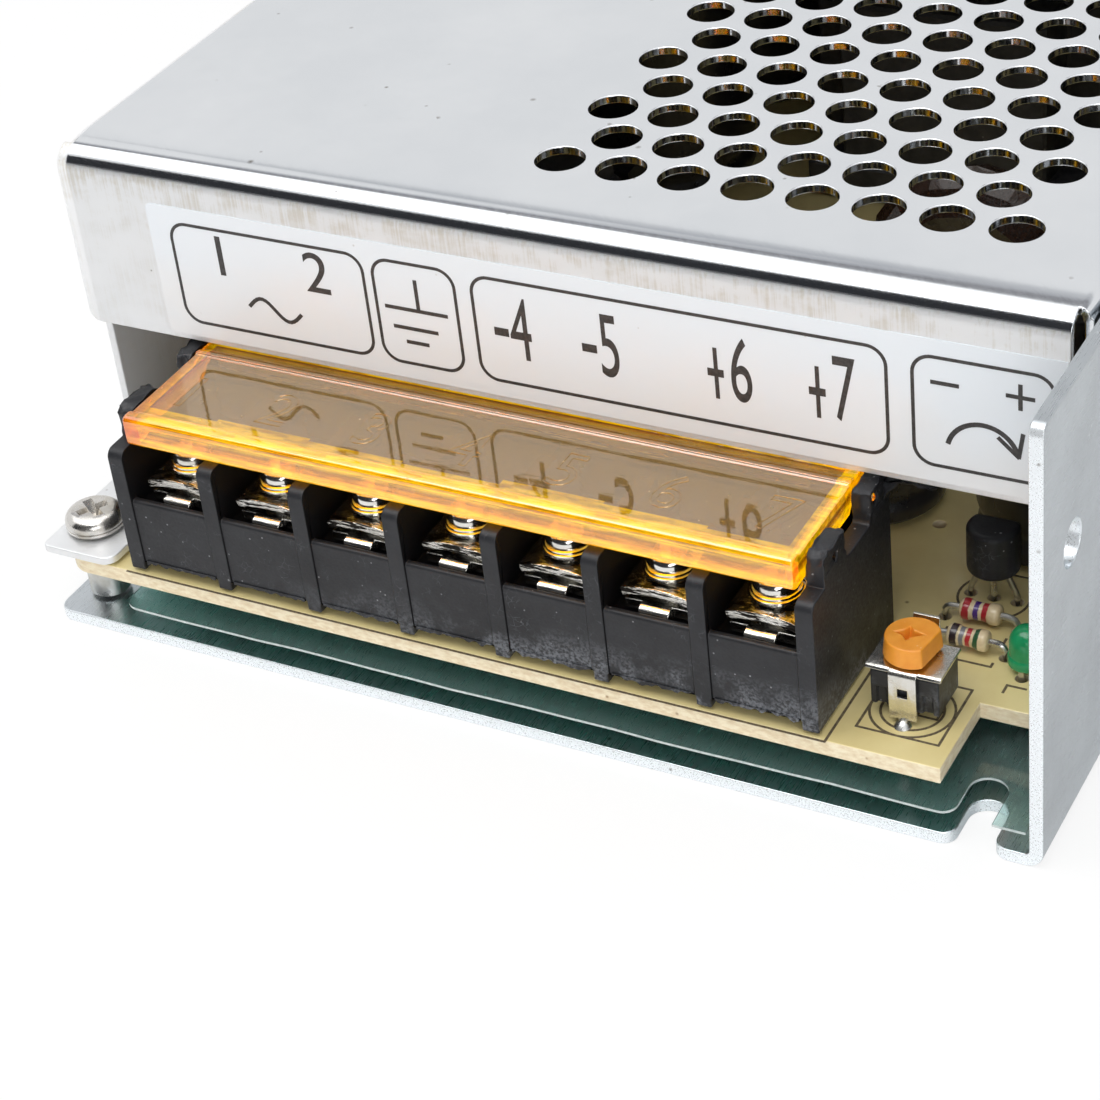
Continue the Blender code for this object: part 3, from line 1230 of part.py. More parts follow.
def small_transistor():
    radius = TRANSISTOR_DIAMETER / 2
    spread = math.degrees(math.acos(TRANSISTOR_FLAT / radius))
    outline = arc((0, 0), radius, spread - 90, 270 - spread, 2 * ARCH_STEPS)
    mesh = prism("small_transistor", outline, TRANSISTOR_HEIGHT, "Z", TRANSISTOR_BOTTOM)
    place = BLOCK_CORNER + Vector((TRANSISTOR_X, TRANSISTOR_Y, 0))
    item = add_object("small_transistor", mesh, "black_moulding", place)
    pitch = TRANSISTOR_LEG_PITCH
    splayed = [(-pitch, 0, 0), (0, 0, 0), (pitch, 0, 0)]
    low = -BOARD_THICKNESS - LEAD_BELOW_BOARD
    high = TRANSISTOR_BOTTOM + LEAD_BEND
    inside = radius / 2
    for number, (x, _, _) in enumerate(splayed, 1):
        near = math.copysign(min(abs(x), inside), x)
        path = [(x, 0, low), (x, 0, TRANSISTOR_BOTTOM / 2), (near, 0, TRANSISTOR_BOTTOM), (near, 0, high)]
        join(item, wire(f"transistor_leg_{number}", path, LEAD_DIAMETER))


def indicator_led():
    radius = LAMP_DIAMETER / 2
    bottom = LAMP_BOTTOM
    straight = bottom + LAMP_HEIGHT - radius
    dome = arc((0, straight), radius, 90, 0, CORNER_STEPS)
    rim = radius + LAMP_RIM
    shoulder = bottom + LAMP_RIM * 2
    profile = dome + [(radius, shoulder), (rim, shoulder), (rim, bottom), (0, bottom)]
    place = BLOCK_CORNER + Vector((LAMP_X, LAMP_Y, 0))
    item = add_object("indicator_led", turned("indicator_led", profile, SCREW_FACETS), "green_lens", place)
    low = -BOARD_THICKNESS - LEAD_BELOW_BOARD
    half = LAMP_LEG / 2
    corners = []
    for y in (-LAMP_LEG_PITCH, LAMP_LEG_PITCH):
        corners.append(((-half, y - half, low), (half, y + half, bottom + LAMP_RIM)))
    join(item, boxes("led_legs", corners))


# Large parts on the board
def capacitor(name, x, y, diameter, height):
    radius = diameter / 2
    edge = CAPACITOR_ROUNDING
    crimp = CAPACITOR_CRIMP_HEIGHT
    depth = CAPACITOR_CRIMP_DEPTH
    profile = [
        (0, height), (radius - edge, height), (radius, height - edge), (radius, crimp + depth * 2),
        (radius - depth, crimp), (radius, crimp - depth * 2), (radius, 0), (0, 0),
    ]
    place = BLOCK_CORNER + Vector((x, y, GAP))
    add_object(name, turned(name, profile), "black_sleeve", place)


def capacitors():
    bulk_height = COVER_UNDERSIDE - BULK_CAPACITOR_CLEARANCE - BOARD_TOP - GAP
    capacitor(
        "front_capacitor", FRONT_CAPACITOR_X, FRONT_CAPACITOR_Y, FRONT_CAPACITOR_DIAMETER,
        FRONT_CAPACITOR_HEIGHT,
    )
    for number in (0, 1):
        capacitor(
            f"bulk_capacitor_{number + 1}", BULK_CAPACITOR_X,
            BULK_CAPACITOR_Y + number * BULK_CAPACITOR_PITCH, BULK_CAPACITOR_DIAMETER,
            bulk_height,
        )
        capacitor(
            f"output_capacitor_{number + 1}", OUTPUT_CAPACITOR_X + number * OUTPUT_CAPACITOR_PITCH,
            OUTPUT_CAPACITOR_Y, OUTPUT_CAPACITOR_DIAMETER, OUTPUT_CAPACITOR_HEIGHT,
        )


def output_choke():
    """A wound ring that stands on its edge."""
    outer = CHOKE_RING + CHOKE_WIRE
    place = BLOCK_CORNER + Vector((CHOKE_X, CHOKE_Y, outer + GAP))
    bpy.ops.mesh.primitive_torus_add(
        major_segments=CHOKE_FACETS, minor_segments=CHOKE_WIRE_FACETS,
        major_radius=CHOKE_RING, minor_radius=CHOKE_WIRE,
    )
    ring = bpy.context.object
    mesh = ring.data.copy()
    bpy.data.objects.remove(ring)
    mesh.name = "output_choke"
    mesh.transform(Matrix.Rotation(QUARTER_TURN, 4, "X"))
    add_object("output_choke", mesh, "copper_winding", place)


def fuse():
    """A glass cartridge in two clips."""
    half = FUSE_LENGTH / 2
    cap = FUSE_CAP_DIAMETER / 2
    glass = FUSE_DIAMETER / 2
    inner = half - FUSE_CAP_LENGTH
    profile = [
        (0, half), (cap, half), (cap, inner), (glass, inner),
        (glass, -inner), (cap, -inner), (cap, -half), (0, -half),
    ]
    mesh = turned("fuse", profile, SCREW_FACETS)
    mesh.transform(Matrix.Translation((0, 0, FUSE_Z)) @ Matrix.Rotation(QUARTER_TURN, 4, "Y"))
    item = add_object("fuse", mesh, "fuse_glass", BLOCK_CORNER + Vector((FUSE_X, FUSE_Y, 0)))
    clips = []
    for side in (-1, 1):
        x = side * (half - FUSE_CAP_LENGTH / 2)
        reach = FUSE_CLIP_WIDTH / 2
        sheet = FUSE_CLIP_SHEET / 2
        clips.append(((x - reach, -sheet, GAP), (x + reach, sheet, FUSE_Z)))
    join(item, boxes("fuse_clips", clips))


def film_capacitor():
    x, y, z = FILM_CAPACITOR_SIZE
    mesh = boxes("film_capacitor", [((-x / 2, -y / 2, GAP), (x / 2, y / 2, z))])
    place = BLOCK_CORNER + Vector((FILM_CAPACITOR_X, FILM_CAPACITOR_Y, 0))
    item = add_object("film_capacitor", mesh, "yellow_tape", place)
    soften(item, FILM_CAPACITOR_ROUNDING)


def line_choke():
    """A ferrite frame with a coil on each upright limb, on a moulded base."""
    x, y, z = LINE_CHOKE_SIZE
    window_x, window_z = LINE_CHOKE_WINDOW
    base = LINE_CHOKE_BASE
    coil = LINE_CHOKE_COIL / 2
    place = BLOCK_CORNER + Vector((LINE_CHOKE_X, LINE_CHOKE_Y, 0))
    mesh = boxes("line_choke", [((-x / 2, -y / 2, GAP + base / 2), (x / 2, y / 2, z))])
    item = add_object("line_choke", mesh, "ferrite", place)
    low = (z + base - window_z) / 2
    window = [((-window_x / 2, -y, low), (window_x / 2, y, low + window_z))]
    cut(item, boxes("line_choke_window", window))
    limb = (x + window_x) / 4
    middle = low + window_z / 2
    coils = [(-limb, 0, middle), (limb, 0, middle)]
    join(item, rods("line_choke_coils", coils, 2 * coil, window_z + WELD, facets=ROUND_FACETS))
    join(item, boxes("line_choke_base", [((-x / 2 - base, -coil, GAP), (x / 2 + base, coil, GAP + base))]))


def bridge_rectifier():
    x, y, z = RECTIFIER_SIZE
    chamfer = RECTIFIER_CHAMFER
    outline = [(-x / 2, GAP), (x / 2, GAP), (x / 2, z), (chamfer - x / 2, z), (-x / 2, z - chamfer)]
    mesh = prism("bridge_rectifier", outline, y, "Y", -y / 2)
    place = BLOCK_CORNER + Vector((RECTIFIER_X, RECTIFIER_Y, 0))
    add_object("bridge_rectifier", mesh, "black_moulding", place)


def centred_box(name, size, low):
    x, y, z = size
    return boxes(name, [((-x / 2, -y / 2, low), (x / 2, y / 2, low + z))])


def transformer():
    """A ferrite core round a taped coil, on a moulded base."""
    place = BLOCK_CORNER + Vector((TRANSFORMER_X, TRANSFORMER_Y, 0))
    base_z = TRANSFORMER_BASE[2]
    coil_low = GAP + base_z - OVERRUN / 2
    core_low = GAP + base_z / 2
    core_height = COVER_UNDERSIDE - TRANSFORMER_CLEARANCE - BOARD_TOP - core_low
    core_size = (TRANSFORMER_CORE_WIDTH, TRANSFORMER_CORE_DEPTH, core_height)
    core = centred_box("transformer", core_size, core_low)
    item = add_object("transformer", core, "ferrite", place)
    join(item, centred_box("transformer_coil", TRANSFORMER_COIL, coil_low))
    join(item, centred_box("transformer_base", TRANSFORMER_BASE, GAP))
    soften(item, TRANSFORMER_ROUNDING, 1)


def power_package(name, y):
    """A three-legged package whose tab lies against the right wall."""
    back = WALL_INSIDE - GAP - BLOCK_CORNER.x
    place = BLOCK_CORNER + Vector((back, y, 0))
    half = POWER_WIDTH / 2
    body_top = POWER_BODY_BOTTOM + POWER_BODY_HEIGHT
    tab_top = body_top + POWER_TAB_HEIGHT
    body = boxes(name, [((-POWER_BODY_THICKNESS, -half, POWER_BODY_BOTTOM), (0, half, tab_top))])
    item = add_object(name, body, "black_moulding", place)
    low = (-2 * POWER_BODY_THICKNESS, -2 * half, body_top)
    high = (-POWER_TAB_THICKNESS, 2 * half, 2 * tab_top)
    cut(item, boxes(name + "_step", [(low, high)]))
    hole = [(0, 0, body_top + POWER_TAB_HEIGHT / 2)]
    cut(item, rods(name + "_hole", hole, POWER_TAB_HOLE, 2 * POWER_BODY_THICKNESS, "X"))
    leg = POWER_LEG_WIDTH / 2
    leg_x = -POWER_BODY_THICKNESS / 2
    corners = []
    for number in (-1, 0, 1):
        y_leg = number * POWER_LEG_PITCH
        corners.append((
            (leg_x - POWER_LEG_SHEET, y_leg - leg, GAP), (leg_x, y_leg + leg, POWER_BODY_BOTTOM + leg),
        ))
    join(item, boxes(name + "_legs", corners))


def clamp_screw_y():
    return BLOCK_CORNER.y + DIODE_Y + (POWER_TRANSISTOR_Y - DIODE_Y) * CLAMP_SCREW_Y_SHARE


def clamp_screw_z():
    return BOARD_TOP + POWER_BODY_BOTTOM + POWER_BODY_HEIGHT / 2


def clamp_bar():
    """A strip that presses both power packages to the wall, held by one screw in the wall."""
    x = WALL_INSIDE - GAP - POWER_BODY_THICKNESS - GAP
    front = BLOCK_CORNER.y + DIODE_Y - CLAMP_BAR_OVERHANG
    rear = BLOCK_CORNER.y + POWER_TRANSISTOR_Y + CLAMP_BAR_OVERHANG
    z = clamp_screw_z()
    half = CLAMP_BAR_HEIGHT / 2
    corner = CLAMP_BAR_SHEET
    low = z - half
    high = z + half
    outline = rounded([
        (front, low, corner), (rear, low, corner), (rear, high, corner), (front, high, corner),
    ])
    mesh = prism("clamp_bar", outline, CLAMP_BAR_SHEET, "X", x - CLAMP_BAR_SHEET)
    bar = add_object("clamp_bar", mesh, "plated_steel")
    bore = SCREW_SHANK + 2 * SCREW_CLEARANCE
    through = 2 * (CLAMP_BAR_SHEET + OVERRUN)
    cut(bar, rods("clamp_bar_hole", [(x, clamp_screw_y(), z)], bore, through, "X"))
    seat = x - CLAMP_BAR_SHEET - GAP
    screw = small_screw("clamp_screw", CASE_RIGHT - seat)
    screw.transform(Matrix.Rotation(-QUARTER_TURN, 4, "Y"))
    add_object("clamp_screw", screw, "tinned_metal", (seat, clamp_screw_y(), z))


def build():
    base_chassis()
    top_cover()
    circuit_board()
    insulating_film()
    board_standoffs()
    board_screws()
    terminal_housing()
    terminal_lid()
    terminals()
    trimmer_body()
    trimmer_frame()
    trimmer_knob()
    resistor("resistor_a", RESISTOR_A_X, RESISTOR_A_Y)
    resistor("resistor_b", RESISTOR_B_X, RESISTOR_B_Y)
    small_transistor()
    indicator_led()
    capacitors()
    output_choke()
    fuse()
    film_capacitor()
    line_choke()
    bridge_rectifier()
    transformer()
    power_package("output_diode", DIODE_Y)
    power_package("power_transistor", POWER_TRANSISTOR_Y)
    clamp_bar()
    cover_screws()


build()
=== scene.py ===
import math

import bmesh
import bpy
from mathutils import Matrix, Vector, noise


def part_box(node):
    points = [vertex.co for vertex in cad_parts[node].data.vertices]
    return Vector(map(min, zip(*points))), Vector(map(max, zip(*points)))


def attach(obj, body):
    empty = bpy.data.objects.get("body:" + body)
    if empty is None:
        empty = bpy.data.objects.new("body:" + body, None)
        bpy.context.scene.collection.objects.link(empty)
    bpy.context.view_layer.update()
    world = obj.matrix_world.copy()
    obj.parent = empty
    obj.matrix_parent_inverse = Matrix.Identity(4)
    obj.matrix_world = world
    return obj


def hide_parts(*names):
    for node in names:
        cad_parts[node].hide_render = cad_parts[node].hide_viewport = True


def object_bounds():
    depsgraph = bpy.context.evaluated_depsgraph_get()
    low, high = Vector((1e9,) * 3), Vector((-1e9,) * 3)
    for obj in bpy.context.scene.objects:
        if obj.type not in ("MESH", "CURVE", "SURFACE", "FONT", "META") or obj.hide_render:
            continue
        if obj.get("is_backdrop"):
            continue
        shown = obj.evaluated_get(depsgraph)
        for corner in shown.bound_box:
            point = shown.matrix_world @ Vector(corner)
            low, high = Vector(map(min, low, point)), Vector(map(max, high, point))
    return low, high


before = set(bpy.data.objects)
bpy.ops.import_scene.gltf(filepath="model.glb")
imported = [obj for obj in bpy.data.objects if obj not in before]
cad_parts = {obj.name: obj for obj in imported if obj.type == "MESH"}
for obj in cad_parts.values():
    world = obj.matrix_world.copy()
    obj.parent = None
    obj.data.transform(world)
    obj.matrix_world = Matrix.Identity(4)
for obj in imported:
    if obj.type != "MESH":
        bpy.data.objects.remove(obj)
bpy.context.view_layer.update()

# Camera. It stands where the photograph's viewpoint lies: in front of the case, a little to the
# right and above, with a long lens that looks down on the terminal block.
CAMERA_PLACE = (0.1043, -0.2358, 0.1502)
CAMERA_HEADING = math.radians(31.89)
CAMERA_TILT = math.radians(54.96)
CAMERA_ROLL = math.radians(-7.09)
CAMERA_LENS = 90.44

camera_data = bpy.data.cameras.new("camera")
camera_data.lens = CAMERA_LENS
camera_data.sensor_width = 36
camera_data.clip_start = 0.01
camera = bpy.data.objects.new("camera", camera_data)
camera.matrix_world = (
    Matrix.Translation(CAMERA_PLACE)
    @ Matrix.Rotation(CAMERA_HEADING, 4, "Z")
    @ Matrix.Rotation(CAMERA_TILT, 4, "X")
    @ Matrix.Rotation(CAMERA_ROLL, 4, "Z")
)
bpy.context.scene.collection.objects.link(camera)
bpy.context.scene.camera = camera
bpy.context.scene.view_settings.view_transform = "Standard"


# Studio. A white sweep of floor and background, one large soft lamp overhead, and dark cards that
# only shiny metal sees, so that its bends show the dark lines that a studio gives them.
LAMP_PLACE = (-0.10, -0.28, 0.78)
LAMP_SIZE = (0.75, 0.50)
LAMP_POWER = 3.2
FILL_PLACE = (0.55, -0.85, 0.40)
FILL_SIZE = (0.5, 0.4)
FILL_POWER = 1.5
FRONT_PLACE = (0.30, -0.95, 0.20)
FRONT_SIZE = (0.3, 0.3)
FRONT_POWER = 1.1
SKY_LIGHT = 0.55
SKY_REFLECTED = 0.86
FLOOR_SIZE = 3.0
FLOOR_WHITE = 0.92
FLOOR_SHADOW = 0.24


def shader_node(tree, kind, inputs=None, **settings):
    """Adds a node. Each input is a value or the output of another node."""
    made = tree.nodes.new("ShaderNode" + kind)
    for name, value in settings.items():
        setattr(made, name, value)
    for name, value in (inputs or {}).items():
        if isinstance(value, bpy.types.NodeSocket):
            tree.links.new(value, made.inputs[name])
        else:
            made.inputs[name].default_value = value
    return made


def soft_lamp(name, place, size, power, target):
    data = bpy.data.lights.new(name, "AREA")
    data.shape = "RECTANGLE"
    data.size, data.size_y = size
    data.energy = power
    lamp = bpy.data.objects.new(name, data)
    direction = Vector(target) - Vector(place)
    lamp.matrix_world = Matrix.Translation(place) @ direction.to_track_quat("-Z", "Y").to_matrix().to_4x4()
    bpy.context.scene.collection.objects.link(lamp)


def reflected_card(name, centre, half_width, half_height, heading, tilt, colour):
    """A card that only reflections see."""
    bm = bmesh.new()
    place = (
        Matrix.Translation(centre) @ Matrix.Rotation(heading, 4, "Z") @ Matrix.Rotation(tilt, 4, "X")
        @ Matrix.Diagonal((half_width, half_height, 1, 1))
    )
    bmesh.ops.create_grid(bm, x_segments=1, y_segments=1, size=1, matrix=place)
    mesh = bpy.data.meshes.new(name)
    bm.to_mesh(mesh)
    bm.free()
    paint = bpy.data.materials.new(name)
    paint.use_nodes = True
    tree = paint.node_tree
    glow = shader_node(tree, "Emission", {"Color": (*colour, 1), "Strength": 1.0})
    tree.links.new(glow.outputs[0], tree.nodes["Material Output"].inputs["Surface"])
    mesh.materials.append(paint)
    card = bpy.data.objects.new(name, mesh)
    bpy.context.scene.collection.objects.link(card)
    for ray in ("camera", "diffuse", "transmission", "volume_scatter", "shadow"):
        setattr(card, "visible_" + ray, False)
    card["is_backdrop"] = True


soft_lamp("overhead_lamp", LAMP_PLACE, LAMP_SIZE, LAMP_POWER, (0, -0.03, 0.02))
soft_lamp("side_fill", FILL_PLACE, FILL_SIZE, FILL_POWER, (0, 0, 0.02))
soft_lamp("front_fill", FRONT_PLACE, FRONT_SIZE, FRONT_POWER, (-0.04, -0.06, 0.015))
reflected_card("front_card", (-0.30, -0.95, 0.58), 1.1, 0.62, 0, math.pi / 2, (0.030, 0.031, 0.035))
reflected_card("table_edge_card", (-0.20, -0.62, 0.001), 1.0, 0.42, 0, 0, (0.035, 0.036, 0.040))
reflected_card("overhead_card", (-0.35, -0.03, 0.90), 0.9, 0.50, 0, 0, (1.5, 1.5, 1.5))
reflected_card("rear_card", (-0.50, 0.70, 0.985), 1.2, 0.11, 0, math.pi / 2, (0.25, 0.25, 0.265))
reflected_card("rear_shade", (-0.50, 0.73, 0.965), 1.2, 0.20, 0, math.pi / 2, (0.55, 0.56, 0.58))

world = bpy.data.worlds.new("studio")
world.use_nodes = True
bpy.context.scene.world = world
sky = world.node_tree
rays = shader_node(sky, "LightPath")
seen = shader_node(sky, "Math", {0: rays.outputs["Is Camera Ray"], 1: rays.outputs["Is Transmission Ray"]}, operation="MAXIMUM")
reflected = shader_node(sky, "MapRange", {"Value": rays.outputs["Is Glossy Ray"], "To Min": SKY_LIGHT, "To Max": SKY_REFLECTED})
strength = shader_node(sky, "MapRange", {"Value": seen.outputs[0], "To Min": reflected.outputs[0], "To Max": 1.0})
sky.links.new(strength.outputs[0], sky.nodes["Background"].inputs["Strength"])
sky.nodes["Background"].inputs["Color"].default_value = (1, 1, 1, 1)

bm = bmesh.new()
bmesh.ops.create_grid(bm, x_segments=1, y_segments=1, size=FLOOR_SIZE)
floor_mesh = bpy.data.meshes.new("floor")
bm.to_mesh(floor_mesh)
bm.free()
floor_paint = bpy.data.materials.new("floor_white")
floor_paint.use_nodes = True
tree = floor_paint.node_tree
shader = tree.nodes["Principled BSDF"]
shader.inputs["Base Color"].default_value = (FLOOR_WHITE, FLOOR_WHITE, FLOOR_WHITE, 1)
shader.inputs["Roughness"].default_value = 0.9
shader.inputs["Specular IOR Level"].default_value = 0
white = shader_node(tree, "Emission", {"Color": (1, 1, 1, 1), "Strength": 1.04})
rays = shader_node(tree, "LightPath")
share = shader_node(tree, "Math", {0: rays.outputs["Is Camera Ray"], 1: 1 - FLOOR_SHADOW}, operation="MULTIPLY")
mixed = shader_node(tree, "MixShader", {0: share.outputs[0], 1: shader.outputs[0], 2: white.outputs[0]})
tree.links.new(mixed.outputs[0], tree.nodes["Material Output"].inputs["Surface"])
floor_mesh.materials.append(floor_paint)
floor = bpy.data.objects.new("floor", floor_mesh)
bpy.context.scene.collection.objects.link(floor)
floor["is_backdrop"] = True


# Base chassis. One 1.2 mm aluminium sheet, cut, drilled and folded once, so that it is the bottom
# plate and the right wall; satin rolled faces and bright sheared edges with small scratches.
PLATE_LEFT = -0.0479
CASE_RIGHT = 0.049
CASE_FRONT = -0.0795
CASE_REAR = 0.0795
CHASSIS_SHEET = 0.0012
CHASSIS_BEND = 0.0016
WALL_TOP = 0.0418
NOTCH_X = 0.04305
NOTCH_HALF = 0.00165
NOTCH_END = -0.07595
NOTCH_MOUTH = 0.0013
BEND_STEPS = 8
EDGE_ROUND = 0.00014
MILLIMETRES = 1000


def effect_group(name, inputs, output):
    """A node group with named inputs and one output, and its two end nodes."""
    tree = bpy.data.node_groups.new(name, "ShaderNodeTree")
    for socket, kind in inputs:
        tree.interface.new_socket(socket, in_out="INPUT", socket_type="NodeSocket" + kind)
    tree.interface.new_socket(output, in_out="OUTPUT", socket_type="NodeSocketFloat")
    return tree, tree.nodes.new("NodeGroupInput"), tree.nodes.new("NodeGroupOutput")


def make_grain():
    """Noise that is drawn out along the piece, for rolling lines, stains and soft variation."""
    tree, given, result = effect_group("grain", [("Vector", "Vector"), ("Stretch", "Vector"), ("Detail", "Float")], "Value")
    drawn = shader_node(tree, "VectorMath", {0: given.outputs["Vector"], 1: given.outputs["Stretch"]}, operation="MULTIPLY")
    grains = shader_node(tree, "TexNoise", {"Vector": drawn.outputs[0], "Scale": 1.0, "Detail": given.outputs["Detail"], "Roughness": 0.6})
    tree.links.new(grains.outputs[0], result.inputs["Value"])
    return tree


def make_specks():
    """Small separate spots, as dust and pits are. Amount is the share of cells that hold one."""
    tree, given, result = effect_group("specks", [("Vector", "Vector"), ("Size", "Float"), ("Amount", "Float")], "Mask")
    density = shader_node(tree, "Math", {0: 1.0, 1: given.outputs["Size"]}, operation="DIVIDE")
    cells = shader_node(tree, "TexVoronoi", {"Vector": given.outputs["Vector"], "Scale": density.outputs[0]})
    parts = shader_node(tree, "SeparateColor", {0: cells.outputs["Color"]})
    chosen = shader_node(tree, "Math", {0: parts.outputs[0], 1: given.outputs["Amount"]}, operation="LESS_THAN")
    radius = shader_node(tree, "MapRange", {"Value": parts.outputs[1], "To Min": 0.08, "To Max": 0.34})
    near = shader_node(tree, "MapRange", {"Value": cells.outputs["Distance"], "From Min": radius.outputs[0], "From Max": 0.0})
    both = shader_node(tree, "Math", {0: chosen.outputs[0], 1: near.outputs[0]}, operation="MULTIPLY")
    tree.links.new(both.outputs[0], result.inputs["Mask"])
    return tree


def make_scratches():
    """Thin crossing lines that come in patches."""
    tree, given, result = effect_group("scratches", [("Vector", "Vector"), ("Size", "Float"), ("Amount", "Float")], "Mask")
    density = shader_node(tree, "Math", {0: 1.0, 1: given.outputs["Size"]}, operation="DIVIDE")
    bend = shader_node(tree, "TexNoise", {"Vector": given.outputs["Vector"], "Scale": 0.9, "Detail": 3.0})
    moved = shader_node(tree, "VectorMath", {0: given.outputs["Vector"], 1: bend.outputs["Color"]}, operation="ADD")
    cells = shader_node(tree, "TexVoronoi", {"Vector": moved.outputs[0], "Scale": density.outputs[0]}, feature="DISTANCE_TO_EDGE")
    line = shader_node(tree, "MapRange", {"Value": cells.outputs["Distance"], "From Min": 0.035, "From Max": 0.0})
    patches = shader_node(tree, "TexNoise", {"Vector": given.outputs["Vector"], "Scale": 0.35, "Detail": 5.0, "Roughness": 0.7})
    least = shader_node(tree, "Math", {0: 1.0, 1: given.outputs["Amount"]}, operation="SUBTRACT")
    most = shader_node(tree, "Math", {0: least.outputs[0], 1: 0.12}, operation="ADD")
    worn = shader_node(tree, "MapRange", {"Value": patches.outputs[0], "From Min": least.outputs[0], "From Max": most.outputs[0]})
    both = shader_node(tree, "Math", {0: line.outputs[0], 1: worn.outputs[0]}, operation="MULTIPLY")
    tree.links.new(both.outputs[0], result.inputs["Mask"])
    return tree


GRAIN = make_grain()
SPECKS = make_specks()
SCRATCHES = make_scratches()


def new_finish(name, colour, roughness, metallic=0, **plain):
    """A material with the values that are the same all over it, and its tree and shader."""
    finish = bpy.data.materials.new(name)
    finish.use_nodes = True
    shader = finish.node_tree.nodes["Principled BSDF"]
    shader.inputs["Base Color"].default_value = (*colour, 1)
    shader.inputs["Roughness"].default_value = roughness
    shader.inputs["Metallic"].default_value = metallic
    for socket, value in plain.items():
        shader.inputs[socket.replace("_", " ")].default_value = value
    return finish, finish.node_tree, shader


def in_millimetres(tree):
    """The place on the object, in millimetres."""
    place = shader_node(tree, "TexCoord")
    return shader_node(tree, "Mapping", {"Vector": place.outputs["Object"], "Scale": (MILLIMETRES,) * 3}).outputs[0]


def effect(tree, group, **values):
    made = shader_node(tree, "Group", node_tree=group)
    for name, value in values.items():
        if isinstance(value, bpy.types.NodeSocket):
            tree.links.new(value, made.inputs[name])
        else:
            made.inputs[name].default_value = value
    return made.outputs[0]


def blended(tree, factor, first, second):
    """The first colour where the factor is 0, and the second where it is 1."""
    made = shader_node(tree, "Mix", data_type="RGBA")
    for index, value in ((0, factor), (6, first), (7, second)):
        if isinstance(value, bpy.types.NodeSocket):
            tree.links.new(value, made.inputs[index])
        else:
            made.inputs[index].default_value = (*value, 1) if index else value
    return made.outputs[2]


def ranged(tree, value, low, high, first=0.0, last=1.0):
    """The value's range from low to high, spread from first to last."""
    made = shader_node(tree, "MapRange", {
        "Value": value, "From Min": low, "From Max": high, "To Min": first, "To Max": last,
    })
    return made.outputs[0]


def calculated(tree, operation, first, second):
    return shader_node(tree, "Math", {0: first, 1: second}, operation=operation).outputs[0]


def raised(tree, shader, height, distance, strength=1.0):
    made = shader_node(tree, "Bump", {"Height": height, "Distance": distance, "Strength": strength})
    tree.links.new(made.outputs[0], shader.inputs["Normal"])


def set_input(tree, shader, name, value):
    tree.links.new(value, shader.inputs[name])


def aluminium_finish():
    finish, tree, shader = new_finish("aluminium", (0.62, 0.66, 0.69), 0.3, 1)
    place = in_millimetres(tree)
    rolling = effect(tree, GRAIN, Vector=place, Stretch=(9.0, 0.5, 9.0), Detail=3.0)
    stains = effect(tree, GRAIN, Vector=place, Stretch=(0.12, 0.12, 0.12), Detail=5.0)
    marks = effect(tree, SCRATCHES, Vector=place, Size=2.2, Amount=0.36)
    dirt = effect(tree, SPECKS, Vector=place, Size=0.9, Amount=0.05)
    parts = shader_node(tree, "SeparateXYZ", {0: place})
    facing = shader_node(tree, "NewGeometry")
    directions = shader_node(tree, "SeparateXYZ", {0: facing.outputs["Normal"]})
    # Painted shade: the wall, from 1 to 4 mm up, takes a darker copy of the plate's colour.
    wall_painted_shade = ranged(tree, parts.outputs["Z"], 1.0, 4.0)
    sheared = ranged(tree, calculated(tree, "ABSOLUTE", directions.outputs["Y"], 0.0), 0.5, 0.8)
    plain = blended(tree, wall_painted_shade, (0.66, 0.70, 0.73), (0.48, 0.51, 0.535))
    rolled = blended(tree, ranged(tree, stains, 0.35, 0.68), plain, (0.56, 0.595, 0.62))
    metal = blended(tree, sheared, rolled, (0.88, 0.92, 0.95))
    set_input(tree, shader, "Metallic", ranged(tree, sheared, 0.0, 1.0, 1.0, 0.55))
    marked = blended(tree, marks, metal, (0.86, 0.89, 0.91))
    dirty = blended(tree, dirt, marked, (0.20, 0.19, 0.17))
    set_input(tree, shader, "Base Color", dirty)
    satin = ranged(tree, rolling, 0.3, 0.7, 0.24, 0.36)
    set_input(tree, shader, "Roughness", satin)
    raised(tree, shader, rolling, 0.000004)
    return finish


def flat_sheet(low, high, height):
    """A rectangle that faces up."""
    bm = bmesh.new()
    middle = Vector(((high[0] + low[0]) / 2, (high[1] + low[1]) / 2, height))
    size = Matrix.Diagonal(((high[0] - low[0]) / 2, (high[1] - low[1]) / 2, 1, 1))
    bmesh.ops.create_grid(bm, x_segments=1, y_segments=1, size=1, matrix=Matrix.Translation(middle) @ size)
    return bm


def border(bm, axis, place):
    """The open edges that lie at a place on an axis."""
    found = []
    for edge in bm.edges:
        if edge.is_boundary and all(abs(vert.co[axis] - place) < 0.000001 for vert in edge.verts):
            found.append(edge)
    return found


def fold(bm, edges, centre, axis, angle, steps=BEND_STEPS):
    """Bends edges about a line and returns the edges at the end of the bend."""
    verts = list({vert for edge in edges for vert in edge.verts})
    result = bmesh.ops.spin(bm, geom=list(edges) + verts, cent=centre, axis=axis, angle=angle, steps=steps)
    return [item for item in result["geom_last"] if isinstance(item, bmesh.types.BMEdge)]


def pull(bm, edges, offset):
    """Extrudes edges by an offset and returns the new ones."""
    result = bmesh.ops.extrude_edge_only(bm, edges=edges)
    verts = {item for item in result["geom"] if isinstance(item, bmesh.types.BMVert)}
    bmesh.ops.translate(bm, vec=offset, verts=list(verts))
    found = [item for item in result["geom"] if isinstance(item, bmesh.types.BMEdge)]
    return [edge for edge in found if all(vert in verts for vert in edge.verts)]


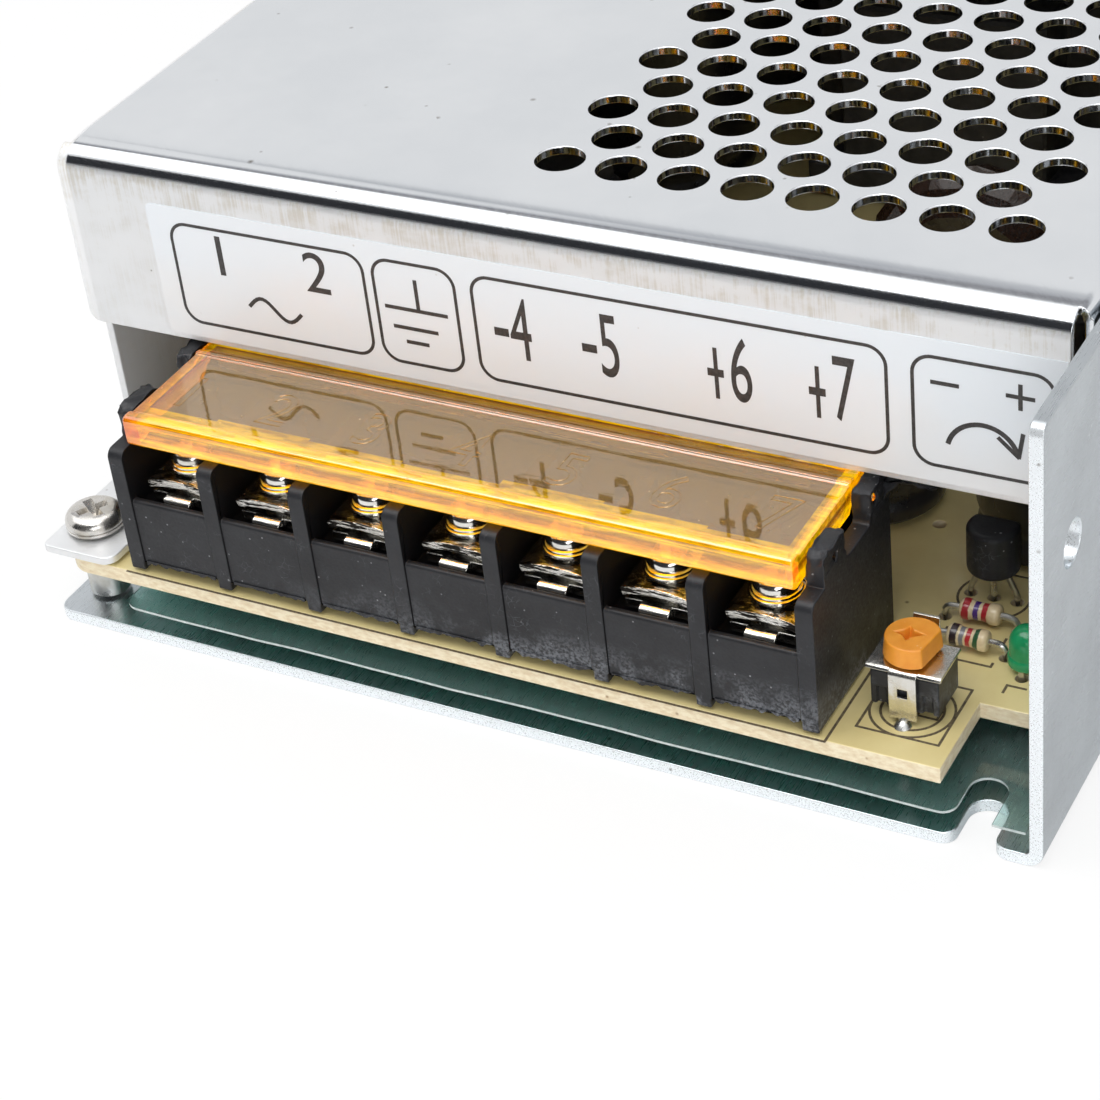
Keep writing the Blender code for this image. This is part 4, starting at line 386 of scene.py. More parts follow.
def round_corner(bm, place, radius, steps=6):
    near = [vert for vert in bm.verts if (vert.co - Vector(place)).length < 0.0001]
    bmesh.ops.bevel(
        bm, geom=near, offset=radius, offset_type="OFFSET", segments=steps, profile=0.5,
        affect="VERTICES", material=-1,
    )


def thickened(bm, outward, thickness):
    """Gives the sheet its thickness behind the face that points outward."""
    bmesh.ops.remove_doubles(bm, verts=bm.verts, dist=0.000001)
    bmesh.ops.recalc_face_normals(bm, faces=bm.faces)
    largest = max(bm.faces, key=lambda face: face.calc_area())
    if largest.normal.dot(Vector(outward)) < 0:
        bmesh.ops.reverse_faces(bm, faces=bm.faces)
    bmesh.ops.solidify(bm, geom=bm.faces[:], thickness=thickness)
    bmesh.ops.recalc_face_normals(bm, faces=bm.faces)
    return bm


def arc(centre, radius, start, end, steps):
    """Points along an arc, from one angle to another in degrees."""
    points = []
    for step in range(steps + 1):
        angle = math.radians(start + (end - start) * step / steps)
        points.append((centre[0] + radius * math.cos(angle), centre[1] + radius * math.sin(angle)))
    return points


def prism(outline, axis, start, thickness, bm=None):
    """An outline with a thickness along an axis. The outline is (y, z), (x, z) or (x, y)."""
    bm = bm or bmesh.new()
    places = {
        "X": lambda u, v: (start, u, v),
        "Y": lambda u, v: (u, start, v),
        "Z": lambda u, v: (u, v, start),
    }
    verts = [bm.verts.new(places[axis](u, v)) for u, v in outline]
    face = bm.faces.new(verts)
    moved = bmesh.ops.extrude_face_region(bm, geom=[face])
    tops = [item for item in moved["geom"] if isinstance(item, bmesh.types.BMVert)]
    offset = {"X": (thickness, 0, 0), "Y": (0, thickness, 0), "Z": (0, 0, thickness)}[axis]
    bmesh.ops.translate(bm, vec=offset, verts=tops)
    bmesh.ops.recalc_face_normals(bm, faces=bm.faces)
    return bm


def rod(bm, place, diameter, length, axis="Z", facets=32, end=None):
    """Adds a round bar, or a tapered one where the end's diameter is given."""
    turns = {
        "X": Matrix.Rotation(math.pi / 2, 4, "Y"),
        "Y": Matrix.Rotation(math.pi / 2, 4, "X"),
        "Z": Matrix.Identity(4),
    }
    bmesh.ops.create_cone(
        bm, cap_ends=True, segments=facets, radius1=diameter / 2, radius2=(end or diameter) / 2,
        depth=length, matrix=Matrix.Translation(place) @ turns[axis],
    )
    return bm


def block(bm, low, high):
    """Adds a box between two corners."""
    size = Vector(high) - Vector(low)
    middle = (Vector(high) + Vector(low)) / 2
    bmesh.ops.create_cube(bm, size=1, matrix=Matrix.Translation(middle) @ Matrix.Diagonal((*size, 1)))
    return bm


def settle(bm, mesh):
    """Writes the shape to the mesh, sorted by place, so that every run gives the same one."""
    bm.verts.index_update()
    rows = sorted((tuple(round(value, 8) for value in vert.co), vert.index) for vert in bm.verts)
    ranks = {index: rank for rank, (place, index) in enumerate(rows)}
    faces = []
    for face in bm.faces:
        ring = [ranks[vert.index] for vert in face.verts]
        first = ring.index(min(ring))
        faces.append(ring[first:] + ring[:first])
    bm.free()
    mesh.clear_geometry()
    mesh.from_pydata([place for place, index in rows], [], sorted(faces))


def new_piece(bm, name, finish, body, slot, *stands_for):
    """Makes the piece, with its finish, and lets it ride on its body. Its slot is not used."""
    mesh = bpy.data.meshes.new(name)
    settle(bm, mesh)
    mesh.materials.append(finish)
    mesh.shade_smooth()
    mesh.set_sharp_from_angle(angle=math.radians(35))
    piece = bpy.data.objects.new(name, mesh)
    bpy.context.scene.collection.objects.link(piece)
    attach(piece, body)
    for node in stands_for:
        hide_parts(node)
    return piece


def carve(piece, tool, operation="DIFFERENCE"):
    """Cuts a tool's shape out of the piece, or joins it on."""
    mesh = bpy.data.meshes.new("tool")
    settle(tool, mesh)
    item = bpy.data.objects.new("tool", mesh)
    bpy.context.scene.collection.objects.link(item)
    change = piece.modifiers.new("carve", "BOOLEAN")
    change.operation = operation
    change.solver = "EXACT"
    change.object = item
    finish = piece.data.materials[0]
    graph = bpy.context.evaluated_depsgraph_get()
    result = bpy.data.meshes.new_from_object(piece.evaluated_get(graph))
    piece.modifiers.clear()
    piece.data = result
    bpy.data.objects.remove(item, do_unlink=True)
    bm = bmesh.new()
    bm.from_mesh(result)
    bmesh.ops.remove_doubles(bm, verts=bm.verts, dist=0.0000005)
    settle(bm, result)
    result.materials.clear()
    result.materials.append(finish)
    result.shade_smooth()
    result.set_sharp_from_angle(angle=math.radians(35))


def ease_edges(piece, width, segments=2, angle=35):
    """Rounds the edges that are sharper than the angle."""
    bevel = piece.modifiers.new("rounded_edges", "BEVEL")
    bevel.width = width
    bevel.segments = segments
    bevel.limit_method = "ANGLE"
    bevel.angle_limit = math.radians(angle)
    bevel.use_clamp_overlap = False
    bevel.harden_normals = True
    piece.data.shade_smooth()


bend_start = CASE_RIGHT - CHASSIS_BEND
bm = flat_sheet((PLATE_LEFT, CASE_FRONT), (bend_start, CASE_REAR), 0)
bent = fold(bm, border(bm, 0, bend_start), (bend_start, 0, CHASSIS_BEND), (0, -1, 0), math.pi / 2)
pull(bm, bent, (0, 0, WALL_TOP - CHASSIS_BEND))
round_corner(bm, (PLATE_LEFT, CASE_FRONT, 0), 0.0015)
for end in (CASE_FRONT, CASE_REAR):
    round_corner(bm, (CASE_RIGHT, end, WALL_TOP), 0.001)
ALUMINIUM = aluminium_finish()
chassis = new_piece(thickened(bm, (0, 0, -1), CHASSIS_SHEET), "chassis_sheet", ALUMINIUM, "case", "aluminium", "base_chassis")
slot_left = NOTCH_X - NOTCH_HALF
slot_right = NOTCH_X + NOTCH_HALF
mouth_y = CASE_FRONT + NOTCH_MOUTH
notch = [(slot_left - NOTCH_MOUTH, CASE_FRONT - 0.001)]
notch += arc((slot_left - NOTCH_MOUTH, mouth_y), NOTCH_MOUTH, -90, 0, 8)
notch += arc((NOTCH_X, NOTCH_END), NOTCH_HALF, 180, 0, 18)
notch += arc((slot_right + NOTCH_MOUTH, mouth_y), NOTCH_MOUTH, 180, 270, 8)
notch += [(slot_right + NOTCH_MOUTH, CASE_FRONT - 0.001)]
carve(chassis, prism(notch, "Z", -0.001, 0.004))
holes = bmesh.new()
for side in (-1, 1):
    rod(holes, (CASE_RIGHT, side * 0.073, 0.0275), 0.004, 0.006, "X", 40)
    for end in (-1, 1):
        rod(holes, (side * 0.030, end * 0.0595, 0), 0.004, 0.006, "Z", 40)
rod(holes, (CASE_RIGHT, 0.0133, 0.0169), 0.0036, 0.006, "X")
for y in (-0.0345, 0.0495):
    rod(holes, (CASE_RIGHT + 0.0004, y, 0.0355), 0.0036, 0.0032, "X", 32, 0.0095)
    rod(holes, (CASE_RIGHT, y, 0.0355), 0.0036, 0.006, "X")
carve(chassis, holes)
ease_edges(chassis, EDGE_ROUND)


# Insulating film. A quarter-millimetre sheet of clear polyester that lies between the board and
# the chassis, die-cut round the notch; its free front edge is a little wavy.
FILM_LOW = 0.0032
FILM_THICKNESS = 0.00025
FILM_WAVE = 0.00006


def clear_film_finish():
    finish, tree, shader = new_finish(
        "clear_film", (0.72, 0.92, 0.88), 0.05, 0, Transmission_Weight=0.93, IOR=1.5,
    )
    place = in_millimetres(tree)
    waves = effect(tree, GRAIN, Vector=place, Stretch=(0.10, 0.35, 0.3), Detail=2.0)
    smears = effect(tree, GRAIN, Vector=place, Stretch=(0.5, 0.5, 0.5), Detail=4.0)
    set_input(tree, shader, "Roughness", ranged(tree, smears, 0.45, 0.75, 0.03, 0.22))
    raised(tree, shader, waves, 0.00012)
    return finish


def film_edge_finish():
    """The die-cut edge scatters light and shows as a bright line."""
    finish, tree, shader = new_finish("film_edge", (0.86, 0.90, 0.89), 0.25, 0, Specular_IOR_Level=0.9)
    nicks = effect(tree, GRAIN, Vector=in_millimetres(tree), Stretch=(1.5, 1.5, 1.5), Detail=3.0)
    set_input(tree, shader, "Base Color", blended(tree, ranged(tree, nicks, 0.35, 0.7), (0.60, 0.66, 0.65), (0.36, 0.43, 0.42)))
    raised(tree, shader, nicks, 0.00004)
    return finish


film_left = -0.0399
film_right = 0.0475
outline = arc((film_left + 0.0015, CASE_FRONT + 0.0016), 0.0015, 180, 270, 6)
outline += [(slot_left - NOTCH_MOUTH, CASE_FRONT + 0.0001)]
outline += arc((slot_left - NOTCH_MOUTH, mouth_y + 0.0001), NOTCH_MOUTH, -90, 0, 6)
outline += arc((NOTCH_X, NOTCH_END + 0.0002), NOTCH_HALF, 180, 0, 16)
outline += [(slot_right, CASE_FRONT + 0.0001), (film_right, CASE_FRONT + 0.0001), (film_right, 0.0753)]
outline += [(-0.0462, 0.0753), (-0.0462, -0.0695), (film_left, -0.0695)]
CLEAR_FILM = clear_film_finish()
bm = prism(outline, "Z", FILM_LOW, FILM_THICKNESS)
for x in [-0.045 + step * 0.004 for step in range(24)]:
    geometry = bm.verts[:] + bm.edges[:] + bm.faces[:]
    bmesh.ops.bisect_plane(bm, geom=geometry, plane_co=(x, 0, 0), plane_no=(1, 0, 0), dist=0.000001)
film = new_piece(bm, "film_sheet", CLEAR_FILM, "case", "clear_film", "insulating_film")
holes = bmesh.new()
STANDOFFS = ((-0.0447, -0.0751, 0.0085), (0.0427, -0.0562, 0.0074), (-0.0447, 0.0713, 0.0085), (0.0427, 0.0713, 0.0074))
for x, y, seat in STANDOFFS:
    rod(holes, (x, y, FILM_LOW), 0.0048, 0.002)
carve(film, holes)
film.data.materials.append(film_edge_finish())
for face in film.data.polygons:
    if abs(face.normal.z) < 0.5:
        face.material_index = 1
for vert in film.data.vertices:
    free = max(0.0, 1 - (vert.co.y - CASE_FRONT) / 0.006)
    vert.co.z += FILM_WAVE * free * (math.sin(vert.co.x * 260) + 0.6 * math.sin(vert.co.x * 610 + 1))


# Circuit board. Phenolic paper laminate, punched to shape: a tan varnished top with printed marks,
# a fibrous edge with dark specks, and a green solder side with tracks and solder cones.
BOARD_BOTTOM = 0.0058
BOARD_TOP = 0.0074
BOARD_LEFT = -0.0462
BOARD_RIGHT = 0.0472
BOARD_FRONT = -0.0789
BOARD_REAR = 0.0753
BOARD_CUT_X = 0.04025
BOARD_CUT_Y = -0.0700
BLOCK = Vector((-0.0375, -0.0787, 0.0074))
PITCH = 0.0095


def on_block(x, y, z=0.0):
    """A place that is measured from the terminal block's front left corner, in millimetres."""
    return BLOCK + Vector((x, y, z)) / MILLIMETRES


def board_finish():
    finish, tree, shader = new_finish("board_laminate", (0.69, 0.58, 0.26), 0.42, 0, Coat_Weight=0.25)
    place = in_millimetres(tree)
    clouds = effect(tree, GRAIN, Vector=place, Stretch=(0.14, 0.14, 0.14), Detail=5.0)
    fibres = effect(tree, GRAIN, Vector=place, Stretch=(1.1, 1.1, 2.6), Detail=6.0)
    pits = effect(tree, SPECKS, Vector=place, Size=1.3, Amount=0.22)
    rare_pits = effect(tree, SPECKS, Vector=place, Size=0.8, Amount=0.012)
    parts = shader_node(tree, "SeparateXYZ", {0: place})
    facing = shader_node(tree, "NewGeometry")
    upright = shader_node(tree, "SeparateXYZ", {0: facing.outputs["Normal"]})
    level = calculated(tree, "ABSOLUTE", upright.outputs["Z"], 0.0)
    edge = ranged(tree, level, 0.75, 0.45)
    low = ranged(tree, parts.outputs["Z"], BOARD_BOTTOM * MILLIMETRES + 0.05, BOARD_BOTTOM * MILLIMETRES + 0.02)
    varnish = blended(tree, ranged(tree, clouds, 0.35, 0.7), (0.86, 0.73, 0.36), (0.78, 0.64, 0.29))
    dotted = blended(tree, rare_pits, varnish, (0.16, 0.08, 0.03))
    paper = blended(tree, ranged(tree, fibres, 0.38, 0.62), (0.78, 0.64, 0.42), (0.92, 0.82, 0.60))
    specked = blended(tree, pits, paper, (0.30, 0.16, 0.06))
    sides = blended(tree, edge, dotted, specked)
    tracks = shader_node(tree, "TexVoronoi", {"Vector": place, "Scale": 0.16}, feature="DISTANCE_TO_EDGE", distance="CHEBYCHEV")
    copper = ranged(tree, tracks.outputs["Distance"], 0.06, 0.08)
    solder_side = blended(tree, copper, (0.05, 0.36, 0.28), (0.08, 0.50, 0.40))
    set_input(tree, shader, "Base Color", blended(tree, low, sides, solder_side))
    rough_edge = ranged(tree, edge, 0.0, 1.0, 0.36, 0.85)
    set_input(tree, shader, "Roughness", rough_edge)
    raised(tree, shader, calculated(tree, "MULTIPLY", fibres, edge), 0.00009)
    return finish


def board_outline():
    corner = 0.0025
    points = arc((BOARD_LEFT + corner, BOARD_FRONT + corner), corner, 180, 270, 10)
    points += [(BOARD_CUT_X, BOARD_FRONT), (BOARD_CUT_X, BOARD_CUT_Y), (BOARD_RIGHT, BOARD_CUT_Y), (BOARD_RIGHT, BOARD_REAR)]
    points += arc((BOARD_LEFT + corner, BOARD_REAR - corner), corner, 90, 180, 10)
    return points


BOARD = board_finish()
board = new_piece(prism(board_outline(), "Z", BOARD_BOTTOM, BOARD_TOP - BOARD_BOTTOM), "board_sheet", BOARD, "case", "board_laminate", "circuit_board")
LEADS = [on_block(x, y) for x, y in (
    (70.85, 18.7), (77.35, 18.7), (71.15, 15.0), (77.65, 15.0), (71.7, 22.6), (73.8, 22.6), (75.9, 22.6),
    (79.8, 12.9), (79.8, 15.5), (73.0, 3.95), (73.0, 9.05),
)]
holes = bmesh.new()
for place in LEADS:
    rod(holes, place, 0.0011, 0.006, facets=16)
for x, y, seat in STANDOFFS:
    rod(holes, (x, y, BOARD_TOP), 0.0036, 0.006)
rod(holes, (0.028, -0.0475, BOARD_TOP), 0.0012, 0.006, facets=16)
carve(board, holes)
ease_edges(board, 0.00012)


def ink_finish():
    finish, tree, shader = new_finish("printed_ink", (0.10, 0.075, 0.045), 0.6)
    wear = effect(tree, GRAIN, Vector=in_millimetres(tree), Stretch=(3.0, 3.0, 3.0), Detail=4.0)
    set_input(tree, shader, "Base Color", blended(tree, ranged(tree, wear, 0.35, 0.75), (0.075, 0.055, 0.035), (0.22, 0.17, 0.09)))
    return finish


def printed_line(bm, points, width, height=0.00003):
    """Adds a thin raised line of ink through points on the board."""
    for first, second in zip(points, points[1:]):
        along = Vector((second[0] - first[0], second[1] - first[1], 0))
        middle = Vector(((first[0] + second[0]) / 2, (first[1] + second[1]) / 2, BOARD_TOP + height / 2))
        turn = Matrix.Rotation(math.atan2(along.y, along.x), 4, "Z")
        thick = height * (1 + len(bm.verts) / 4000)
        size = Matrix.Diagonal((along.length + width * 0.8, width, thick, 1))
        bmesh.ops.create_cube(bm, size=1, matrix=Matrix.Translation(middle) @ turn @ size)


def on_board(points):
    return [tuple(on_block(x, y))[:2] for x, y in points]


BOARD_INK = ink_finish()
bm = bmesh.new()
INK_WIDTH = 0.00022
printed_line(bm, on_board([(69.5, 2.4), (76.6, 2.4), (76.6, 10.0), (69.5, 10.0), (69.5, 2.4)]), INK_WIDTH)
for radius in (3.5, 2.6):
    printed_line(bm, on_board(arc((73.0, 5.9), radius, 0, 360, 48)), INK_WIDTH)
printed_line(bm, on_board([(74.9, 5.4), (73.6, 5.4), (73.6, 6.5), (75.3, 6.5), (75.3, 5.4), (74.9, 5.4)]), INK_WIDTH)
printed_line(bm, on_board([(71.6, 17.3), (71.6, 16.8), (76.8, 16.8), (76.8, 17.4)]), INK_WIDTH)
printed_line(bm, on_board([(72.4, 13.9), (72.4, 13.4), (76.9, 13.4), (76.9, 13.9)]), INK_WIDTH)
printed_line(bm, on_board(arc((73.8, 22.6), 3.1, 150, 390, 30)), INK_WIDTH)
printed_line(bm, on_board([(79.0, 10.6), (79.0, 11.6), (80.6, 11.6)]), INK_WIDTH)
printed_line(bm, on_board([(-1.2, -0.35), (67.9, -0.35), (67.9, 16.6)]), INK_WIDTH)
printed_line(bm, on_board(arc((75.0, 33.0), 6.9, 180, 420, 40)), INK_WIDTH)
new_piece(bm, "board_print", BOARD_INK, "case", None)


def solder_finish():
    finish, tree, shader = new_finish("solder", (0.74, 0.74, 0.72), 0.28, 1)
    place = in_millimetres(tree)
    frosty = effect(tree, GRAIN, Vector=place, Stretch=(4.0, 4.0, 4.0), Detail=4.0)
    set_input(tree, shader, "Roughness", ranged(tree, frosty, 0.3, 0.7, 0.18, 0.45))
    raised(tree, shader, frosty, 0.00003)
    return finish


def spun(profile, place=(0, 0, 0), steps=40):
    """A body turned about Z from (radius, height) points that run from top to bottom."""
    bm = bmesh.new()
    verts = [bm.verts.new((radius, 0, height)) for radius, height in profile]
    edges = [bm.edges.new(pair) for pair in zip(verts, verts[1:])]
    bmesh.ops.spin(
        bm, geom=verts + edges, cent=(0, 0, 0), axis=(0, 0, 1), angle=2 * math.pi, steps=steps, use_merge=True,
    )
    bmesh.ops.remove_doubles(bm, verts=bm.verts, dist=0.0000005)
    bmesh.ops.recalc_face_normals(bm, faces=bm.faces)
    bmesh.ops.translate(bm, vec=place, verts=bm.verts)
    return bm


def merge_into(bm, other):
    """Adds a second bmesh to the first."""
    mesh = bpy.data.meshes.new("part")
    other.to_mesh(mesh)
    other.free()
    bm.from_mesh(mesh)
    bpy.data.meshes.remove(mesh)
    return bm


SOLDER = solder_finish()
bm = bmesh.new()
pins = [on_block(5.05 + PITCH * MILLIMETRES * number, 12.0) for number in range(7)]
for place in LEADS + pins:
    size = 0.0016 if place in LEADS else 0.0026
    rod(bm, (place[0], place[1], BOARD_BOTTOM - 0.00042), size * 0.4, 0.0008, facets=20, end=size)
drop = on_block(73.0, 3.75, 0.02)
merge_into(bm, spun([(0, 0.00055), (0.0003, 0.0005), (0.00055, 0.00028), (0.0007, 0.00006), (0.00075, 0), (0, 0)], drop, 24))
new_piece(bm, "solder_joints", SOLDER, "case", "tinned_metal")


# Standoffs and board screws. Turned brass posts, tinned, stand on the plate and carry the board;
# pan head screws with a cross recess and a washer hold the board and the cover's foot tabs.
SCREW_HEAD = 0.0056
SCREW_HEAD_HEIGHT = 0.0017
CROSS_WIDTH = 0.0011
CROSS_REACH = 0.0019


def tinned_finish(name, colour=(0.80, 0.79, 0.76), roughness=0.16, texture=0.000012):
    finish, tree, shader = new_finish(name, colour, roughness, 1)
    place = in_millimetres(tree)
    ripples = effect(tree, GRAIN, Vector=place, Stretch=(1.6, 1.6, 1.6), Detail=5.0)
    tarnish = effect(tree, GRAIN, Vector=place, Stretch=(0.5, 0.5, 0.5), Detail=5.0)
    marks = effect(tree, SCRATCHES, Vector=place, Size=0.8, Amount=0.45)
    dull = tuple(channel * factor for channel, factor in zip(colour, (0.80, 0.76, 0.68)))
    metal = blended(tree, ranged(tree, tarnish, 0.45, 0.75), colour, dull)
    set_input(tree, shader, "Base Color", blended(tree, marks, metal, (0.93, 0.93, 0.92)))
    set_input(tree, shader, "Roughness", ranged(tree, tarnish, 0.3, 0.7, roughness * 0.7, roughness * 1.9))
    raised(tree, shader, ripples, texture)
    return finish


def cross_outline(long_arm, short_arm, half):
    """The outline of a cross whose two bars have the same width."""
    corner = [(half, -half), (long_arm, -half), (long_arm, half), (half, half), (half, short_arm), (-half, short_arm)]
    return corner + [(-x, -y) for x, y in corner]


def cross_tool(long_arm, short_arm, half, low, high, turn, foot=1.0):
    """A cutter for a cross recess, which may get smaller towards its foot."""
    bm = prism(cross_outline(long_arm, short_arm, half), "Z", low, high - low)
    for vert in bm.verts:
        if vert.co.z < (low + high) / 2:
            vert.co.x *= foot
            vert.co.y *= foot
    bmesh.ops.rotate(bm, cent=(0, 0, 0), matrix=Matrix.Rotation(turn, 3, "Z"), verts=bm.verts)
    return bm


def pan_head(bore_length):
    """A screw with a domed head, a cross recess and a threaded shank, and its washer."""
    half = SCREW_HEAD / 2
    top = SCREW_HEAD_HEIGHT
    dome = [(half - 0.0011 + 0.0011 * math.sin(a), top - 0.0011 + 0.0011 * math.cos(a)) for a in [step * math.pi / 14 for step in range(1, 8)]]
    profile = [(0, top), (0.0008, top)] + dome + [(half, 0.00045), (half - 0.00012, 0.00033)]
    profile += [(half, 0.00030), (half, 0.00006), (half - 0.00006, 0)]
    shank = []
    height = 0.0
    while height > 0.0006 - bore_length:
        shank += [(0.0015, height), (0.00128, height - 0.00025)]
        height -= 0.0005
    profile += shank + [(0.0012, -bore_length), (0, -bore_length)]
    return spun(profile)


TINNED = tinned_finish("tinned_screws", (0.72, 0.70, 0.67), 0.2)
POST_METAL = tinned_finish("standoff_metal", (0.66, 0.66, 0.64), 0.28)
for number, (x, y, seat) in enumerate(STANDOFFS, 1):
    post = [
        (0, 0.0027), (0.0016, 0.0027), (0.0016, 0.0055), (0.0018, 0.0055), (0.0019, 0.0054), (0.0019, 0.0016),
        (0.0018, 0.0015), (0, 0.0015),
    ]
    new_piece(spun(post, (x, y, 0)), f"standoff_{number}", POST_METAL, "case", "tinned_metal", f"board_standoff_{number}")
    screw = new_piece(pan_head(0.0045), f"pan_screw_{number}", TINNED, "case", "tinned_metal", f"board_screw_{number}")
    turn = math.radians(20 + number * 37)
    carve(screw, cross_tool(CROSS_REACH, CROSS_REACH, CROSS_WIDTH / 2, 0.0006, 0.0021, turn, 0.35))
    screw.data.transform(Matrix.Translation((x, y, seat + 0.0003)))


# Terminal block housing. One black moulding of glass-filled plastic: seven open pockets between
# walls with round shoulders, ears that carry the lid, and a bracket at the right rear corner.
BLOCK_WALL = 0.0016
BLOCK_DEPTH = 0.0161
SILL = 0.00795
FLOOR = 0.007
SHOULDER_TOP = 0.0131
EAR_TOP = 0.0161
TERMINALS = 7


def black_finish():
    finish, tree, shader = new_finish("black_moulding", (0.020, 0.021, 0.024), 0.4, 0, Specular_IOR_Level=0.38)
    place = in_millimetres(tree)
    skin = effect(tree, GRAIN, Vector=place, Stretch=(3.5, 3.5, 3.5), Detail=4.0)
    clouds = effect(tree, GRAIN, Vector=place, Stretch=(0.25, 0.25, 0.25), Detail=5.0)
    marks = effect(tree, SCRATCHES, Vector=place, Size=0.7, Amount=0.46)
    dust = effect(tree, SPECKS, Vector=place, Size=0.45, Amount=0.05)
    parts = shader_node(tree, "SeparateXYZ", {0: place})
    low = ranged(tree, parts.outputs["Z"], 12.2, 8.3)
    right = ranged(tree, parts.outputs["X"], -25.0, 5.0)
    rubbed = calculated(tree, "MULTIPLY", calculated(tree, "MULTIPLY", low, right), ranged(tree, clouds, 0.46, 0.58))
    tone = blended(tree, ranged(tree, clouds, 0.3, 0.7), (0.013, 0.0135, 0.016), (0.024, 0.025, 0.029))
    chalky = blended(tree, calculated(tree, "MULTIPLY", rubbed, ranged(tree, skin, 0.40, 0.60)), tone, (0.18, 0.19, 0.21))
    scratched = blended(tree, calculated(tree, "MULTIPLY", marks, 0.6), chalky, (0.14, 0.15, 0.17))
    set_input(tree, shader, "Base Color", blended(tree, dust, scratched, (0.42, 0.43, 0.45)))
    set_input(tree, shader, "Roughness", ranged(tree, skin, 0.3, 0.7, 0.34, 0.52))
    raised(tree, shader, skin, 0.000018)
    return finish


def block_side():
    """Side view (y, z) of the moulding: shoulder, front ear, saddle and rear ear."""
    points = [(0, 0.0003)]
    points += arc((0.0009, SHOULDER_TOP - 0.0009), 0.0009, 180, 90, 8)
    points += [(0.0026, SHOULDER_TOP)]
    points += arc((0.0034, EAR_TOP - 0.0008), 0.0008, 180, 90, 8)
    points += arc((0.0066, EAR_TOP - 0.0004), 0.0004, 90, 0, 6)
    points += arc((0.0078, SHOULDER_TOP + 0.0008), 0.0008, 180, 270, 8)
    points += arc((0.0116, SHOULDER_TOP + 0.0004), 0.0004, 270, 360, 6)
    points += arc((0.0124, EAR_TOP - 0.0004), 0.0004, 180, 90, 6)
    points += arc((BLOCK_DEPTH - 0.0004, EAR_TOP - 0.0004), 0.0004, 90, 0, 6)
    points += [(BLOCK_DEPTH, 0.0003)]
    return points


def pocket_finish():
    """The same plastic in the pockets, with painted shade: a darker colour and weaker shine, as little light reaches
    them.
    """
    finish, tree, shader = new_finish("black_moulding_painted_shade", (0.006, 0.006, 0.007), 0.5, 0, Specular_IOR_Level=0.12)
    dust = effect(tree, SPECKS, Vector=in_millimetres(tree), Size=0.5, Amount=0.05)
    set_input(tree, shader, "Base Color", blended(tree, dust, (0.006, 0.006, 0.007), (0.20, 0.20, 0.20)))
    return finish


BLACK = black_finish()
housing = new_piece(
    prism(block_side(), "X", -BLOCK_WALL / 2, TERMINALS * PITCH + BLOCK_WALL),
    "terminal_block", BLACK, "case", "black_moulding", "terminal_housing",
)
inner_left = BLOCK_WALL / 2
inner_width = TERMINALS * PITCH - BLOCK_WALL
lid_space = [
    (-0.001, SHOULDER_TOP), (0.0115, SHOULDER_TOP), (0.0115, 0.012), (BLOCK_DEPTH + 0.001, 0.012),
    (BLOCK_DEPTH + 0.001, EAR_TOP + 0.001), (-0.001, EAR_TOP + 0.001),
]
carve(housing, prism(lid_space, "X", inner_left, inner_width))
pockets = bmesh.new()
for number in range(TERMINALS):
    pocket = [
        (-0.001, -0.001), (0.0002, -0.001), (0.0002, SILL - 0.0002), (0.0004, SILL), (0.0008, SILL), (0.0010, SILL - 0.0002),
        (0.0010, FLOOR), (0.0149, FLOOR), (0.0149, EAR_TOP + 0.001), (-0.001, EAR_TOP + 0.001),
    ]
    prism(pocket, "X", number * PITCH + BLOCK_WALL / 2, PITCH - BLOCK_WALL, pockets)
carve(housing, pockets)
feet = bmesh.new()
for number in range(TERMINALS):
    block(feet, (number * PITCH + 0.0007, -0.001, -0.001), ((number + 1) * PITCH - 0.0007, 0.018, 0.0012))
carve(housing, feet)
bores = bmesh.new()
rod(bores, (0.03325, 0.013, 0.0151), 0.0013, 0.2, "X", 24)
rod(bores, (0.03325, 0.005, 0.0146), 0.0012, 0.2, "X", 24)
carve(housing, bores)
lug = [(0.0669, 0.0124)] + arc((0.0713, 0.0119), 0.0044, 170, 100, 8) + [(0.0716, 0.0152), (0.0716, 0.0155), (0.0669, 0.0155)]
carve(housing, prism(lug, "Y", BLOCK_DEPTH - 0.0012, 0.0012), "UNION")
housing.data.transform(Matrix.Translation(BLOCK))
flash = bmesh.new()
for number in range(TERMINALS):
    lip = [(number * PITCH + 0.0010, 0.0014)]
    for step in range(33):
        x = number * PITCH + 0.0010 + step * 0.000235
        lip.append((x, 0.0011 + 0.00045 * noise.noise(Vector((x * 1500, number * 3.1, 0)))))
    lip.append((lip[-1][0], 0.0014))
    prism(lip, "Y", 0.00008, 0.0003, flash)
bmesh.ops.translate(flash, vec=BLOCK, verts=flash.verts)
new_piece(flash, "moulding_flash", BLACK, "case", "black_moulding")


# Terminals. In each pocket a tinned brass contact plate with a tongue folded over the sill, an
# arched clamp plate with a sheared front edge, and a pan head screw with a flange and cross slot.
SCREW_Y = 0.0048
CONTACT_TOP = 0.0083
CLAMP_TOP = 0.0099
HEAD_TURNS = (12, 40, 5, 62, 74, 31, 20)


